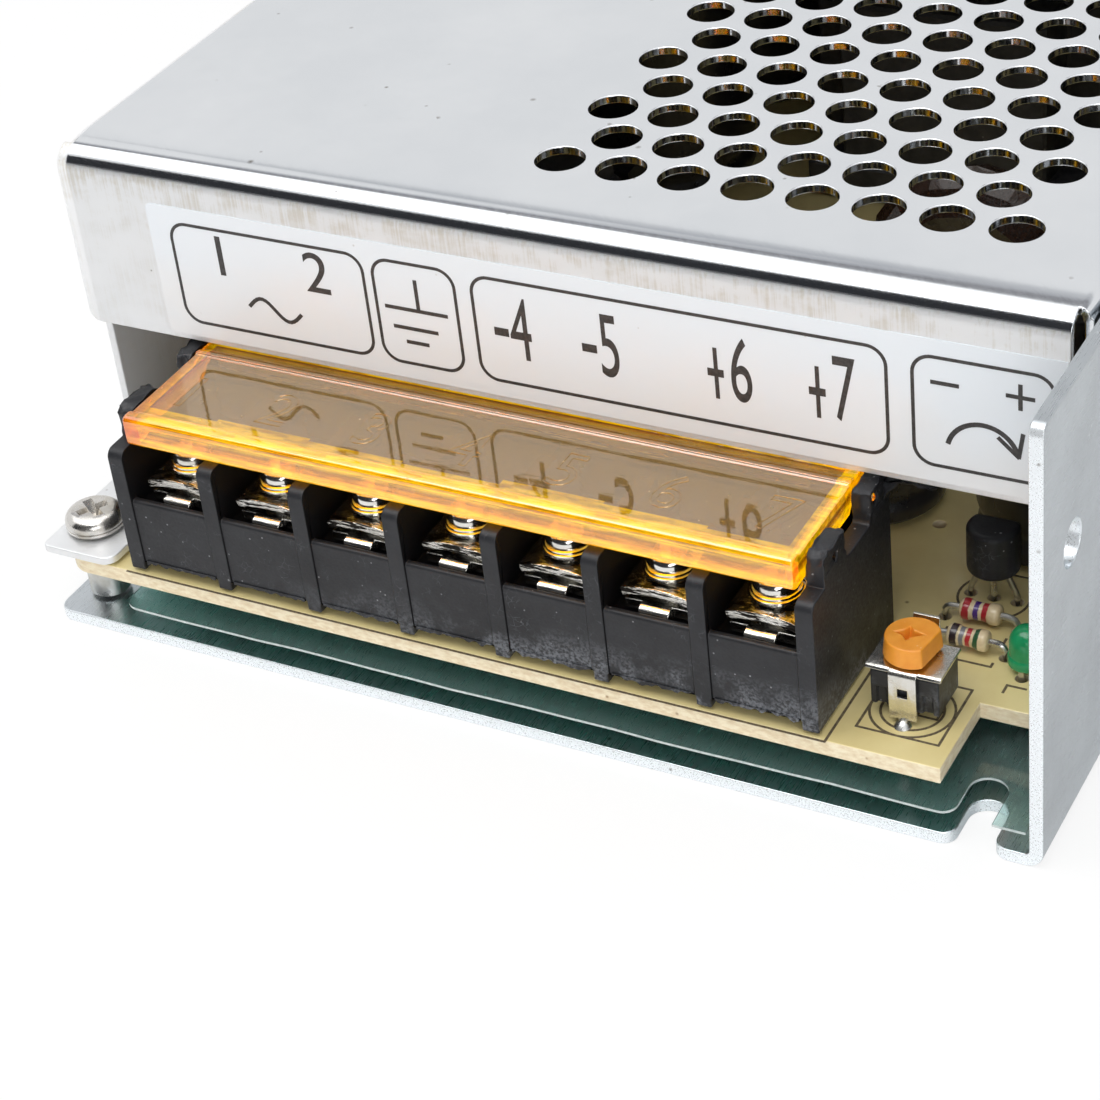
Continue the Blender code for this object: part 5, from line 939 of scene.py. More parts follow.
def contact_plate(x):
    half = 0.0031
    front = 0.0009
    rear = 0.0125
    bend = 0.0010
    bm = flat_sheet((-half, front + bend), (half, rear - bend), CONTACT_TOP)
    for place in (-0.0015, -0.0006, 0.0006, 0.0013):
        geometry = bm.verts[:] + bm.edges[:] + bm.faces[:]
        bmesh.ops.bisect_plane(bm, geom=geometry, plane_co=(place, 0, 0), plane_no=(1, 0, 0), dist=0.000001)
    low = CONTACT_TOP - bend
    tongue = [edge for edge in border(bm, 1, front + bend) if abs(edge.verts[0].co.x + edge.verts[1].co.x) < 0.0025]
    pin = [edge for edge in border(bm, 1, rear - bend) if abs(edge.verts[0].co.x + edge.verts[1].co.x) < 0.001]
    turned = fold(bm, tongue, (0, front + bend, low), (1, 0, 0), math.radians(52), 6)
    pull(bm, turned, (0, -0.0001, -0.0005))
    bent = fold(bm, pin, (0, rear - bend, low), (-1, 0, 0), math.pi / 2, 6)
    pull(bm, bent, (0, 0, -0.0026 - low))
    thickened(bm, (0, 0, 1), 0.001)
    bmesh.ops.translate(bm, vec=BLOCK + Vector((x, 0, 0)), verts=bm.verts)
    return bm


def clamp_plate(x):
    half = 0.0034
    rise = 0.0005
    sheet = 0.0008
    radius = (half ** 2 + rise ** 2) / (2 * rise)
    spread = math.degrees(math.asin(half / radius))
    outline = arc((0, CLAMP_TOP - radius), radius, 90 - spread, 90 + spread, 20)
    outline += arc((0, CLAMP_TOP - radius), radius - sheet, 90 + spread, 90 - spread, 20)
    bm = prism(outline, "Y", SCREW_Y - 0.0031, 0.0057)
    bmesh.ops.translate(bm, vec=BLOCK + Vector((x, 0, 0)), verts=bm.verts)
    return bm


def flanged_screw():
    """The terminal screw: domed head on a flange, with its thread below."""
    top = 0.0021
    profile = [(0, top), (0.0009, top)]
    profile += [(0.0020 * math.sin(a) ** 0.7, 0.0009 + 0.0012 * math.cos(a) ** 0.8) for a in [step * math.pi / 20 for step in range(3, 10)]]
    profile += [(0.0020, 0.0009), (0.00195, 0.0007), (0.0021, 0.00068), (0.0022, 0.0006), (0.0022, 0.00045), (0.00212, 0.0004)]
    profile += [(0.0023, 0.00038), (0.00237, 0.00032), (0.00237, 0.00006), (0.0023, 0)]
    height = 0.0
    while height > -0.0052:
        profile += [(0.0017, height), (0.00145, height - 0.0003)]
        height -= 0.0006
    return spun(profile + [(0.0013, -0.0057), (0, -0.0057)], steps=48)


def sheared_finish(name, torn, bump):
    """Tinned sheet. Torn is how far the press has torn its front part into bright and dark layers."""
    finish, tree, shader = new_finish(name, (0.88, 0.86, 0.81), 0.14, 1)
    place = in_millimetres(tree)
    tears = effect(tree, GRAIN, Vector=place, Stretch=(0.45, 1.6, 3.8), Detail=4.0)
    clouds = effect(tree, GRAIN, Vector=place, Stretch=(0.9, 0.9, 0.9), Detail=4.0)
    facing = shader_node(tree, "NewGeometry")
    parts = shader_node(tree, "SeparateXYZ", {0: facing.outputs["Normal"]})
    places = shader_node(tree, "SeparateXYZ", {0: place})
    edge = ranged(tree, calculated(tree, "ABSOLUTE", parts.outputs["Y"], 0.0), 0.5, 0.8)
    front = ranged(tree, places.outputs["Y"], (BLOCK.y + 0.0046) * MILLIMETRES, (BLOCK.y + 0.0028) * MILLIMETRES, 0.0, 0.8)
    share = calculated(tree, "MULTIPLY", calculated(tree, "MAXIMUM", edge, front), torn)
    tone = blended(tree, ranged(tree, clouds, 0.4, 0.7), (0.96, 0.95, 0.91), (0.80, 0.77, 0.68))
    streaks = calculated(tree, "MULTIPLY", share, ranged(tree, tears, 0.50, 0.48))
    set_input(tree, shader, "Base Color", blended(tree, streaks, tone, (0.03, 0.027, 0.024)))
    set_input(tree, shader, "Roughness", ranged(tree, clouds, 0.3, 0.7, 0.10, 0.28))
    raised(tree, shader, tears, bump)
    return finish


SHEARED = sheared_finish("sheared_tin", 1.0, 0.00012)
CONTACT_TIN = sheared_finish("contact_tin", 0.25, 0.00002)
SCREW_TIN = tinned_finish("terminal_screw_tin", (0.84, 0.83, 0.80), 0.11, 0.000008)
wells = bmesh.new()
for number in range(1, TERMINALS + 1):
    x = PITCH * (number - 0.5) + 0.0003
    contact = new_piece(contact_plate(x), f"contact_{number}", CONTACT_TIN, "case", "tinned_metal", f"terminal_contact_{number}")
    carve(contact, rod(bmesh.new(), BLOCK + Vector((x, SCREW_Y, CONTACT_TOP)), 0.0040, 0.004))
    ease_edges(contact, 0.0001)
    clamp = new_piece(clamp_plate(x), f"clamp_plate_{number}", SHEARED, f"clamp_{number}", "tinned_metal", f"terminal_clamp_{number}")
    carve(clamp, rod(bmesh.new(), BLOCK + Vector((x, SCREW_Y, CLAMP_TOP)), 0.0040, 0.004))
    ease_edges(clamp, 0.0001)
    screw = new_piece(flanged_screw(), f"flanged_screw_{number}", SCREW_TIN, f"screw_{number}", "tinned_metal", f"terminal_screw_{number}")
    carve(screw, cross_tool(0.0017, 0.0012, 0.0004, 0.0011, 0.003, math.radians(HEAD_TURNS[number - 1])))
    screw.data.transform(Matrix.Translation(BLOCK + Vector((x, SCREW_Y, CLAMP_TOP + 0.0003))))
    rod(wells, BLOCK + Vector((x, SCREW_Y, 0.0046)), 0.0040, 0.0072)
carve(housing, wells)
# The faces inside the pockets take the darker copy of the plastic, as painted shade.
housing.data.materials.append(pocket_finish())
for face in housing.data.polygons:
    x, y, z = face.center - BLOCK
    inside = x % PITCH if 0 < x < TERMINALS * PITCH else 0
    if 0.0005 < inside < PITCH - 0.0005 and 0.0009 < y < 0.0152 and z > 0.001:
        face.material_index = 1
ease_edges(housing, 0.00013)
graph = bpy.context.evaluated_depsgraph_get()
rounded = bpy.data.meshes.new_from_object(housing.evaluated_get(graph))
housing.modifiers.clear()
torn = bmesh.new()
torn.from_mesh(rounded)
ear_foot = BLOCK.z + SHOULDER_TOP + 0.0004
for height in (0.0, 0.0007, 0.0014):
    geometry = torn.verts[:] + torn.edges[:] + torn.faces[:]
    bmesh.ops.bisect_plane(torn, geom=geometry, plane_co=(0, 0, ear_foot + height), plane_no=(0, 0, 1), dist=0.000001)
ears = [edge for edge in torn.edges if min(vert.co.z for vert in edge.verts) > ear_foot + 0.00001 and edge.calc_length() > 0.0009]
bmesh.ops.subdivide_edges(torn, edges=ears, cuts=4)
for vert in torn.verts:
    if vert.co.z > ear_foot + 0.00001:
        tear = [noise.noise(vert.co * 1500 + Vector((0, 0, axis * 40))) for axis in range(3)]
        vert.co += Vector((tear[0] * 0.5, tear[1], tear[2])) * 0.00036
torn.to_mesh(rounded)
torn.free()
housing.data = rounded


# Lid. Clear amber polycarbonate, moulded: a thin plate with a thick bevelled front rib, end
# skirts with hinge pins that snap into the ears, a low rear rib and raised terminal numbers.
LID_LEFT = -0.03215
LID_RIGHT = 0.03215
HINGE = BLOCK + Vector((0.03325, 0.013, 0.0151))
AMBER_DENSITY = 1300
RIB_MIDDLE = 22.3
# Depth of the lid's front band with painted glow, and the step of its teeth.
GLOW_FRONT = 0.0023
GLOW_STEP = 0.00035


def amber_finish(name, colour, clear, glow):
    """Amber plastic. Where glow is given, it gets a painted glow: emission on its faces that stands in for the light
    the sheet carries to its edges.
    """
    finish, tree, shader = new_finish(
        name, colour, 0.03, 0, Transmission_Weight=clear, IOR=1.7, Coat_Weight=1.0, Coat_IOR=1.8, Coat_Roughness=0.03,
        Emission_Strength=glow,
    )
    place = in_millimetres(tree)
    flow = effect(tree, GRAIN, Vector=place, Stretch=(0.12, 0.5, 0.5), Detail=3.0)
    facets = effect(tree, GRAIN, Vector=place, Stretch=(0.35, 1.6, 2.4), Detail=4.0)
    dust = effect(tree, SPECKS, Vector=place, Size=0.8, Amount=0.05)
    rubs = effect(tree, SCRATCHES, Vector=place, Size=1.6, Amount=0.42)
    used = calculated(tree, "MAXIMUM", dust, calculated(tree, "MULTIPLY", rubs, 0.5))
    set_input(tree, shader, "Roughness", ranged(tree, used, 0.0, 1.0, 0.03, 0.5))
    raised(tree, shader, flow, 0.00004)
    # Painted glow: the emission is bright amber in bands above and below the rib's middle, broken into streaks, fading
    # at the left end, and dim brown between.
    if glow:
        parts = shader_node(tree, "SeparateXYZ", {0: place})
        heights = parts.outputs["Z"]
        fading = ranged(tree, parts.outputs["X"], -36.2, -34.6, 0.1, 1.0)
        upper = ranged(tree, heights, RIB_MIDDLE + 0.35, RIB_MIDDLE + 0.75)
        lower = ranged(tree, heights, RIB_MIDDLE - 0.15, RIB_MIDDLE - 0.40)
        painted_glow = calculated(tree, "MULTIPLY", calculated(tree, "MAXIMUM", upper, lower), ranged(tree, facets, 0.35, 0.58, 0.35, 1.0))
        painted_glow = calculated(tree, "MULTIPLY", painted_glow, fading)
        set_input(tree, shader, "Emission Color", blended(tree, painted_glow, (0.10, 0.035, 0.0), (1.0, 0.66, 0.0)))
    amber = shader_node(tree, "VolumeAbsorption", {"Color": (1.0, 0.86, 0.05, 1), "Density": AMBER_DENSITY})
    tree.links.new(amber.outputs[0], tree.nodes["Material Output"].inputs["Volume"])
    return finish


def lid_side():
    """Side view (y, z) from the hinge: front rib with its bevels, plate and knuckle."""
    front = -0.0122
    rib_back = front + 0.0016
    top = 0.0011
    points = [(front, -0.0013), (front - 0.0, 0.0009)]
    points += arc((front + 0.0005, 0.0009), 0.0005, 180, 90, 5)
    points += [(rib_back - 0.0004, 0.0014), (rib_back, top), (-0.0006, top), (-0.0005, top + 0.0002), (0.0001, top + 0.0002), (0.0002, top)]
    points += [(0.0026, top), (0.0026, 0.0001), (0.0008, 0.0001)]
    points += arc((0, 0), 0.0008, 0, -90, 6)
    points += [(-0.0008, -0.0017), (front + 0.0005, -0.0017)]
    return points


AMBER = amber_finish("amber_clear", (1.0, 0.76, 0.30), 0.87, 0)
AMBER_EDGE_PAINTED_GLOW = amber_finish("amber_edge_painted_glow", (1.0, 0.66, 0.04), 0.97, 0.62)
lid = new_piece(prism(lid_side(), "X", LID_LEFT, LID_RIGHT - LID_LEFT), "lid_clear", AMBER, "lid", "orange_clear_plastic", "terminal_lid")
carve(lid, block(bmesh.new(), (LID_LEFT + 0.0009, -0.0106, -0.003), (LID_RIGHT - 0.0009, 0.0036, 0.0001)))
pins = bmesh.new()
for side in (-1, 1):
    rod(pins, (side * (LID_RIGHT - 0.00045 + 0.00117), 0, 0), 0.0007, 0.00235, "X", 20)
    rod(pins, (side * LID_RIGHT, -0.008, -0.0005), 0.0009, 0.0003, "X", 20)
carve(lid, pins, "UNION")
# The front rib's faces, in teeth that step back, the rear strip and the ends take the copy with painted glow.
teeth = bmesh.new()
teeth.from_mesh(lid.data)
cuts = [((0, -0.0122 + GLOW_FRONT + step * GLOW_STEP, 0), (0, 1, 0)) for step in range(3)]
cuts += [((PITCH * number - HINGE.x + BLOCK.x, 0, 0), (1, 0, 0)) for number in range(8)]
cuts += [((side * (LID_RIGHT - 0.0012), 0, 0), (1, 0, 0)) for side in (-1, 1)] + [((0, 0.0014, 0), (0, 1, 0))]
for place, normal in cuts:
    geometry = teeth.verts[:] + teeth.edges[:] + teeth.faces[:]
    bmesh.ops.bisect_plane(teeth, geom=geometry, plane_co=place, plane_no=normal, dist=0.000001)
for face in teeth.faces:
    x, y, z = face.calc_center_median()
    tooth = int((x - LID_LEFT) / PITCH * 2) % 3
    if y < -0.0122 + GLOW_FRONT + tooth * GLOW_STEP or y > 0.0014 or abs(x) > LID_RIGHT - 0.0012:
        face.material_index = 1
teeth.to_mesh(lid.data)
teeth.free()
lid.data.materials.append(AMBER_EDGE_PAINTED_GLOW)
lid.data.transform(Matrix.Translation(HINGE))
ease_edges(lid, 0.0002, 3)


def lettering(text, size, centre, turn, depth, name, outline=0.0):
    """A mesh of raised text, or of its outline alone, whose middle is at the centre."""
    curve = bpy.data.curves.new(name, "FONT")
    curve.body = text
    curve.size = size
    curve.align_x = "CENTER"
    curve.align_y = "CENTER"
    curve.extrude = depth / 2
    if outline:
        curve.fill_mode = "NONE"
        curve.extrude = 0
        curve.bevel_depth = outline
        curve.resolution_u = 3
        curve.bevel_resolution = 1
    item = bpy.data.objects.new(name, curve)
    bpy.context.scene.collection.objects.link(item)
    graph = bpy.context.evaluated_depsgraph_get()
    mesh = bpy.data.meshes.new_from_object(item.evaluated_get(graph))
    bpy.data.objects.remove(item, do_unlink=True)
    mesh.transform(Matrix.Translation(centre) @ turn)
    bm = bmesh.new()
    bm.from_mesh(mesh)
    bmesh.ops.remove_doubles(bm, verts=bm.verts, dist=0.0000005)
    bpy.data.meshes.remove(mesh)
    return bm


for number in range(1, TERMINALS + 1):
    centre = BLOCK + Vector((PITCH * (number - 0.5) - 0.0003, 0.0066, 0.01622))
    bm = lettering(str(number), 0.0068, centre, Matrix.Diagonal((0.9, 1, 1, 1)), 0, "numeral", 0.00005)
    new_piece(bm, f"lid_numeral_{number}", AMBER, "lid", "orange_clear_plastic")


# Trimmer. A black moulded base under a tinned frame whose legs fold down to the board, the front
# one with a square window, and an orange rotor with a cross recess.
TRIMMER = on_block(73.0, 6.5)


def orange_finish():
    finish, tree, shader = new_finish("orange_plastic", (0.82, 0.32, 0.03), 0.34, 0, Subsurface_Weight=0.08, Subsurface_Scale=0.0005)
    place = in_millimetres(tree)
    clouds = effect(tree, GRAIN, Vector=place, Stretch=(0.8, 0.8, 0.8), Detail=4.0)
    dust = effect(tree, SPECKS, Vector=place, Size=0.35, Amount=0.05)
    tone = blended(tree, ranged(tree, clouds, 0.35, 0.7), (0.80, 0.29, 0.025), (0.88, 0.36, 0.04))
    set_input(tree, shader, "Base Color", blended(tree, dust, tone, (0.95, 0.72, 0.5)))
    set_input(tree, shader, "Roughness", ranged(tree, clouds, 0.3, 0.7, 0.28, 0.42))
    raised(tree, shader, clouds, 0.00003)
    return finish


bm = block(bmesh.new(), TRIMMER + Vector((-0.00295, -0.0022, 0.0012)), TRIMMER + Vector((0.00295, 0.0022, 0.0047)))
base = new_piece(bm, "trimmer_base", BLACK, "case", "black_moulding", "trimmer_body")
tools = bmesh.new()
rod(tools, TRIMMER + Vector((0, 0, 0.0053)), 0.0024, 0.0042)
for side in (-1, 1):
    block(tools, TRIMMER + Vector((side * 0.0020 - 0.0004, -0.003, 0.0)), TRIMMER + Vector((side * 0.0020 + 0.0004, -0.0019, 0.0030)))
carve(base, tools)
ease_edges(base, 0.00018, 3)

FRAME_TIN = tinned_finish("frame_tin", (0.80, 0.79, 0.75), 0.18, 0.00002)
half_x = 0.00325
half_y = 0.0027
bend = 0.0006
bm = flat_sheet((-half_x, bend - half_y), (half_x, half_y - bend), 0.0053)
for place in (-0.0012, -0.0004, 0.0004, 0.0012):
    geometry = bm.verts[:] + bm.edges[:] + bm.faces[:]
    bmesh.ops.bisect_plane(bm, geom=geometry, plane_co=(place, 0, 0), plane_no=(1, 0, 0), dist=0.000001)
for side in (-1, 1):
    y = side * (half_y - bend)
    edges = [edge for edge in border(bm, 1, y) if abs(edge.verts[0].co.x + edge.verts[1].co.x) < 0.0022]
    bent = fold(bm, edges, (0, y, 0.0053 - bend), (-side, 0, 0), math.pi / 2, 5)
    low = pull(bm, bent, (0, 0, 0.0006 - 0.0053 + bend))
    foot = [edge for edge in low if abs(edge.verts[0].co.x + edge.verts[1].co.x) < 0.0007]
    pull(bm, foot, (0, 0, -0.0026 - 0.0006))
lips = [edge for edge in border(bm, 1, bend - half_y) if abs(edge.verts[0].co.x + edge.verts[1].co.x) > 0.003]
turned = fold(bm, lips, (0, bend - half_y, 0.0053 - 0.0004), (1, 0, 0), math.radians(80), 4)
thickened(bm, (0, 0, 1), 0.0003)
block(bm, (-0.0011, half_y + 0.00002, 0.0044), (0.0012, half_y + 0.0003, 0.0073))
bmesh.ops.translate(bm, vec=TRIMMER, verts=bm.verts)
trimmer_frame = new_piece(bm, "trimmer_clip", FRAME_TIN, "case", "tinned_metal", "trimmer_frame")
tools = rod(bmesh.new(), TRIMMER + Vector((0, 0, 0.0053)), 0.0024, 0.001)
block(tools, TRIMMER + Vector((-0.00042, -0.0037, 0.00278)), TRIMMER + Vector((0.00042, -0.0017, 0.00362)))
carve(trimmer_frame, tools)
ease_edges(trimmer_frame, 0.00006)

ORANGE = orange_finish()
KNOB_RADIUS = 0.00248
flat_side = arc((0, 0), KNOB_RADIUS, 34, 308, 40)
bm = prism(flat_side, "Z", 0, 0.0018)
for vert in bm.verts:
    if vert.co.z > 0.0009:
        vert.co.x *= 0.93
        vert.co.y *= 0.93
knob = new_piece(bm, "trimmer_rotor", ORANGE, "trimmer_knob", "orange_plastic", "trimmer_knob")
carve(knob, rod(bmesh.new(), (0, 0, -0.0008), 0.0018, 0.0020), "UNION")
star = []
for step, reach in enumerate((1.5, 0.7, 1.3, 0.75, 1.7, 0.75, 1.3, 0.7)):
    angle = math.radians(190 + 45 * step)
    star.append((reach * math.cos(angle) / MILLIMETRES - 0.0004, reach * math.sin(angle) / MILLIMETRES))
tool = prism(star, "Z", 0.0008, 0.002)
for vert in tool.verts:
    if vert.co.z < 0.001:
        vert.co.x = (vert.co.x + 0.0004) * 0.5 - 0.0004
        vert.co.y *= 0.5
carve(knob, tool)
knob.data.transform(Matrix.Translation(TRIMMER + Vector((0, 0, 0.0056))))
ease_edges(knob, 0.00014, 3, 30)


# Resistors, small transistor and lamp. Lacquered resistors with colour bands on bent tinned leads,
# a black three-legged transistor and a green resin lamp, all pushed through the board.
def banded_finish(name, centre, bands):
    """Cream lacquer with bands, each (start, end, colour) in millimetres along the resistor."""
    finish, tree, shader = new_finish(name, (0.78, 0.64, 0.40), 0.3, 0, Coat_Weight=0.5, Coat_Roughness=0.08)
    place = in_millimetres(tree)
    parts = shader_node(tree, "SeparateXYZ", {0: place})
    along = calculated(tree, "SUBTRACT", parts.outputs["X"], centre * MILLIMETRES)
    clouds = effect(tree, GRAIN, Vector=place, Stretch=(1.2, 1.2, 1.2), Detail=5.0)
    uneven = calculated(tree, "ADD", along, ranged(tree, clouds, 0.3, 0.7, -0.06, 0.06))
    colour = blended(tree, ranged(tree, clouds, 0.4, 0.75), (0.80, 0.66, 0.42), (0.62, 0.46, 0.25))
    for start, end, paint in bands:
        inside = calculated(tree, "MULTIPLY", ranged(tree, uneven, start - 0.03, start + 0.03), ranged(tree, uneven, end + 0.03, end - 0.03))
        colour = blended(tree, inside, colour, paint)
    set_input(tree, shader, "Base Color", colour)
    set_input(tree, shader, "Roughness", ranged(tree, clouds, 0.3, 0.7, 0.22, 0.42))
    raised(tree, shader, clouds, 0.00003)
    return finish


def bent_wire(points, diameter, corner=0.0006, facets=10):
    """A round wire through points, with soft bends."""
    path = [Vector(points[0])]
    for before, here, after in zip(points, points[1:], points[2:]):
        here = Vector(here)
        start = here + (Vector(before) - here).normalized() * corner
        end = here + (Vector(after) - here).normalized() * corner
        for step in range(5):
            share = step / 4
            path.append(start.lerp(here, share).lerp(here.lerp(end, share), share))
    path.append(Vector(points[-1]))
    bm = bmesh.new()
    rings = []
    for index, place in enumerate(path):
        first = path[max(index - 1, 0)]
        second = path[min(index + 1, len(path) - 1)]
        turn = (second - first).to_track_quat("Z", "Y").to_matrix().to_4x4()
        ring = bmesh.ops.create_circle(bm, cap_ends=index in (0, len(path) - 1), segments=facets, radius=diameter / 2, matrix=Matrix.Translation(place) @ turn)
        rings.append(ring["verts"])
    for first, second in zip(rings, rings[1:]):
        for index in range(facets):
            following = (index + 1) % facets
            bm.faces.new((first[index], first[following], second[following], second[index]))
    bmesh.ops.recalc_face_normals(bm, faces=bm.faces)
    return bm


LEAD_TIN = tinned_finish("lead_tin", (0.66, 0.66, 0.64), 0.26, 0.00002)
RED = (0.45, 0.02, 0.03)
VIOLET = (0.08, 0.03, 0.22)
DARK = (0.03, 0.015, 0.02)
GREY = (0.20, 0.20, 0.22)
GREEN = (0.03, 0.10, 0.04)
RESISTORS = (
    ("resistor_a", (74.1, 18.7), ((-1.45, -0.85, RED), (-0.5, -0.05, VIOLET), (0.25, 0.75, RED))),
    ("resistor_b", (74.4, 15.0), ((-1.45, -0.85, DARK), (-0.65, -0.25, GREY), (-0.05, 0.35, RED), (0.6, 1.05, GREEN))),
)
for name, (x, y), bands in RESISTORS:
    place = on_block(x, y, 1.3)
    end = 0.0018
    thick = 0.00095
    waist = 0.0008
    shape = [(0, end), (0.0003, end)] + [(thick - 0.0004 + 0.0004 * math.sin(a), end - 0.0004 + 0.0004 * math.cos(a)) for a in [step * math.pi / 12 for step in range(7)]]
    shape += [(thick, end - 0.0008), (thick - 0.00005, end - 0.00095), (waist, end - 0.0012)]
    body = spun(shape + [(radius, -height) for radius, height in reversed(shape)])
    bmesh.ops.rotate(body, cent=(0, 0, 0), matrix=Matrix.Rotation(math.pi / 2, 3, "Y"), verts=body.verts)
    bmesh.ops.translate(body, vec=place, verts=body.verts)
    new_piece(body, name + "_body", banded_finish(name, place.x, bands), "case", "resistor_coat", name)
    low = BOARD_BOTTOM - 0.0009 - place.z
    span = 0.00325
    points = [(-span, 0, low), (-span, 0, 0), (span, 0, 0), (span, 0, low)]
    lead = bent_wire([place + Vector(point) for point in points], 0.0006, 0.0009)
    new_piece(lead, name + "_lead", LEAD_TIN, "case", "tinned_metal")

place = on_block(73.8, 22.6)
radius = 0.0023
spread = math.degrees(math.acos(0.0013 / radius))
outline = arc((place.x, place.y), radius, spread + 90, 450 - spread, 32)
transistor = new_piece(prism(outline, "Z", place.z + 0.0031, 0.0046), "transistor_body", BLACK, "case", "black_moulding", "small_transistor")
ease_edges(transistor, 0.0005, 4, 50)
legs = bmesh.new()
for x in (-0.0021, 0, 0.0021):
    near = max(-0.00115, min(0.00115, x))
    points = [(x, 0, BOARD_BOTTOM - 0.0009 - place.z), (x, 0, 0.0007), (near, 0, 0.0028), (near, 0, 0.0036)]
    merge_into(legs, bent_wire([place + Vector(point) for point in points], 0.00055, 0.0004))
new_piece(legs, "transistor_legs", LEAD_TIN, "case", "tinned_metal")


def lamp_finish():
    finish, tree, shader = new_finish(
        "green_resin", (0.02, 0.42, 0.16), 0.12, 0, Transmission_Weight=0.35, IOR=1.5, Subsurface_Weight=0.3, Subsurface_Scale=0.001,
    )
    clouds = effect(tree, GRAIN, Vector=in_millimetres(tree), Stretch=(0.7, 0.7, 0.7), Detail=3.0)
    set_input(tree, shader, "Base Color", blended(tree, ranged(tree, clouds, 0.35, 0.7), (0.02, 0.40, 0.15), (0.04, 0.52, 0.22)))
    set_input(tree, shader, "Roughness", ranged(tree, clouds, 0.3, 0.7, 0.08, 0.2))
    return finish


place = on_block(79.8, 14.2)
dome = [(0.0015 * math.sin(a), 0.0029 + 0.0015 * math.cos(a)) for a in [step * math.pi / 16 for step in range(9)]]
lamp = spun(dome + [(0.0015, 0.0017), (0.0016, 0.0016), (0.00165, 0.0015), (0.00165, 0.0009), (0.0016, 0.0008), (0, 0.0008)], place)
new_piece(lamp, "lamp_lens", lamp_finish(), "case", "green_lens", "indicator_led")
legs = bmesh.new()
for y in (-0.0013, 0.0013):
    low = BOARD_BOTTOM - 0.0009
    block(legs, (place.x - 0.00022, place.y + y - 0.00022, low), (place.x + 0.00022, place.y + y + 0.00022, place.z + 0.0009))
new_piece(legs, "lamp_legs", LEAD_TIN, "case", "tinned_metal")


# Capacitors. Aluminium cans in shrunk black sleeves, with a rolled groove above the seal and a
# bare scored vent in the top; two large ones store the mains voltage, three smaller ones filter.
def sleeve_finish():
    finish, tree, shader = new_finish("black_sleeve", (0.018, 0.018, 0.021), 0.28, 0, Coat_Weight=0.4, Coat_Roughness=0.1)
    place = in_millimetres(tree)
    clouds = effect(tree, GRAIN, Vector=place, Stretch=(0.5, 0.5, 0.12), Detail=4.0)
    dust = effect(tree, SPECKS, Vector=place, Size=0.5, Amount=0.06)
    tone = blended(tree, ranged(tree, clouds, 0.35, 0.7), (0.015, 0.015, 0.018), (0.030, 0.028, 0.027))
    set_input(tree, shader, "Base Color", blended(tree, dust, tone, (0.22, 0.20, 0.17)))
    set_input(tree, shader, "Roughness", ranged(tree, clouds, 0.3, 0.7, 0.22, 0.42))
    raised(tree, shader, clouds, 0.00005)
    return finish


def vent_finish():
    finish, tree, shader = new_finish("can_top", (0.80, 0.81, 0.82), 0.3, 1)
    rings = effect(tree, GRAIN, Vector=in_millimetres(tree), Stretch=(2.0, 2.0, 2.0), Detail=3.0)
    set_input(tree, shader, "Roughness", ranged(tree, rings, 0.3, 0.7, 0.22, 0.42))
    raised(tree, shader, rings, 0.00001)
    return finish


SLEEVE = sleeve_finish()
CAN_TOP = vent_finish()
CAPACITORS = (
    ("front_capacitor", (75.0, 33.0), 12.5, 25.0), ("bulk_capacitor_1", (11.0, 86.0), 22.0, 30.0),
    ("bulk_capacitor_2", (11.0, 110.5), 22.0, 30.0), ("output_capacitor_1", (44.0, 34.0), 12.5, 20.0),
    ("output_capacitor_2", (58.5, 34.0), 12.5, 20.0),
)
for name, (x, y), diameter, height in CAPACITORS:
    place = on_block(x, y, 0.3)
    half = diameter / 2 / MILLIMETRES
    tall = height / MILLIMETRES
    bead = 0.0008
    shape = [(half * 0.78, tall - 0.0003), (half * 0.80, tall - 0.00005), (half - bead, tall)]
    shape += [(half - bead + bead * math.sin(a), tall - bead + bead * math.cos(a)) for a in [step * math.pi / 12 for step in range(1, 7)]]
    shape += [(half, 0.0040), (half - 0.00015, 0.0034), (half - 0.00045, 0.0029), (half - 0.0005, 0.0026), (half - 0.0004, 0.0022)]
    shape += [(half - 0.0001, 0.0017), (half, 0.0012), (half - 0.0001, 0.0005), (half - 0.0006, 0), (0, 0)]
    shape = [(0, tall - 0.0003)] + shape
    new_piece(spun(shape, place, 64), name + "_sleeve", SLEEVE, "case", "black_sleeve", name)
    top = spun([(0, 0.0001), (half * 0.76, 0.0001), (half * 0.77, 0), (0, 0)], place + Vector((0, 0, tall - 0.0003)), 64)
    disc = new_piece(top, name + "_top", CAN_TOP, "case", "aluminium")
    score = cross_tool(half * 0.66, half * 0.66, 0.00012, 0.00004, 0.001, 0)
    bmesh.ops.translate(score, vec=place + Vector((0, 0, tall - 0.0003)), verts=score.verts)
    carve(disc, score)


# Other parts inside. The wound, taped and moulded parts that show only through the vents keep
# their solids and get finishes of ferrite, tape, enamelled wire and plated steel.
def plain_finish(name, light, dark, roughness, metallic=0, stretch=(0.6, 0.6, 0.6), bump=0.00004, **plain):
    """A finish whose colour and roughness drift softly, for parts inside the case."""
    finish, tree, shader = new_finish(name, light, roughness, metallic, **plain)
    place = in_millimetres(tree)
    clouds = effect(tree, GRAIN, Vector=place, Stretch=stretch, Detail=5.0)
    dust = effect(tree, SPECKS, Vector=place, Size=0.6, Amount=0.05)
    tone = blended(tree, ranged(tree, clouds, 0.35, 0.7), light, dark)
    set_input(tree, shader, "Base Color", blended(tree, calculated(tree, "MULTIPLY", dust, 0.6), tone, (0.55, 0.52, 0.48)))
    set_input(tree, shader, "Roughness", ranged(tree, clouds, 0.3, 0.7, roughness * 0.8, roughness * 1.2))
    raised(tree, shader, clouds, bump)
    return finish


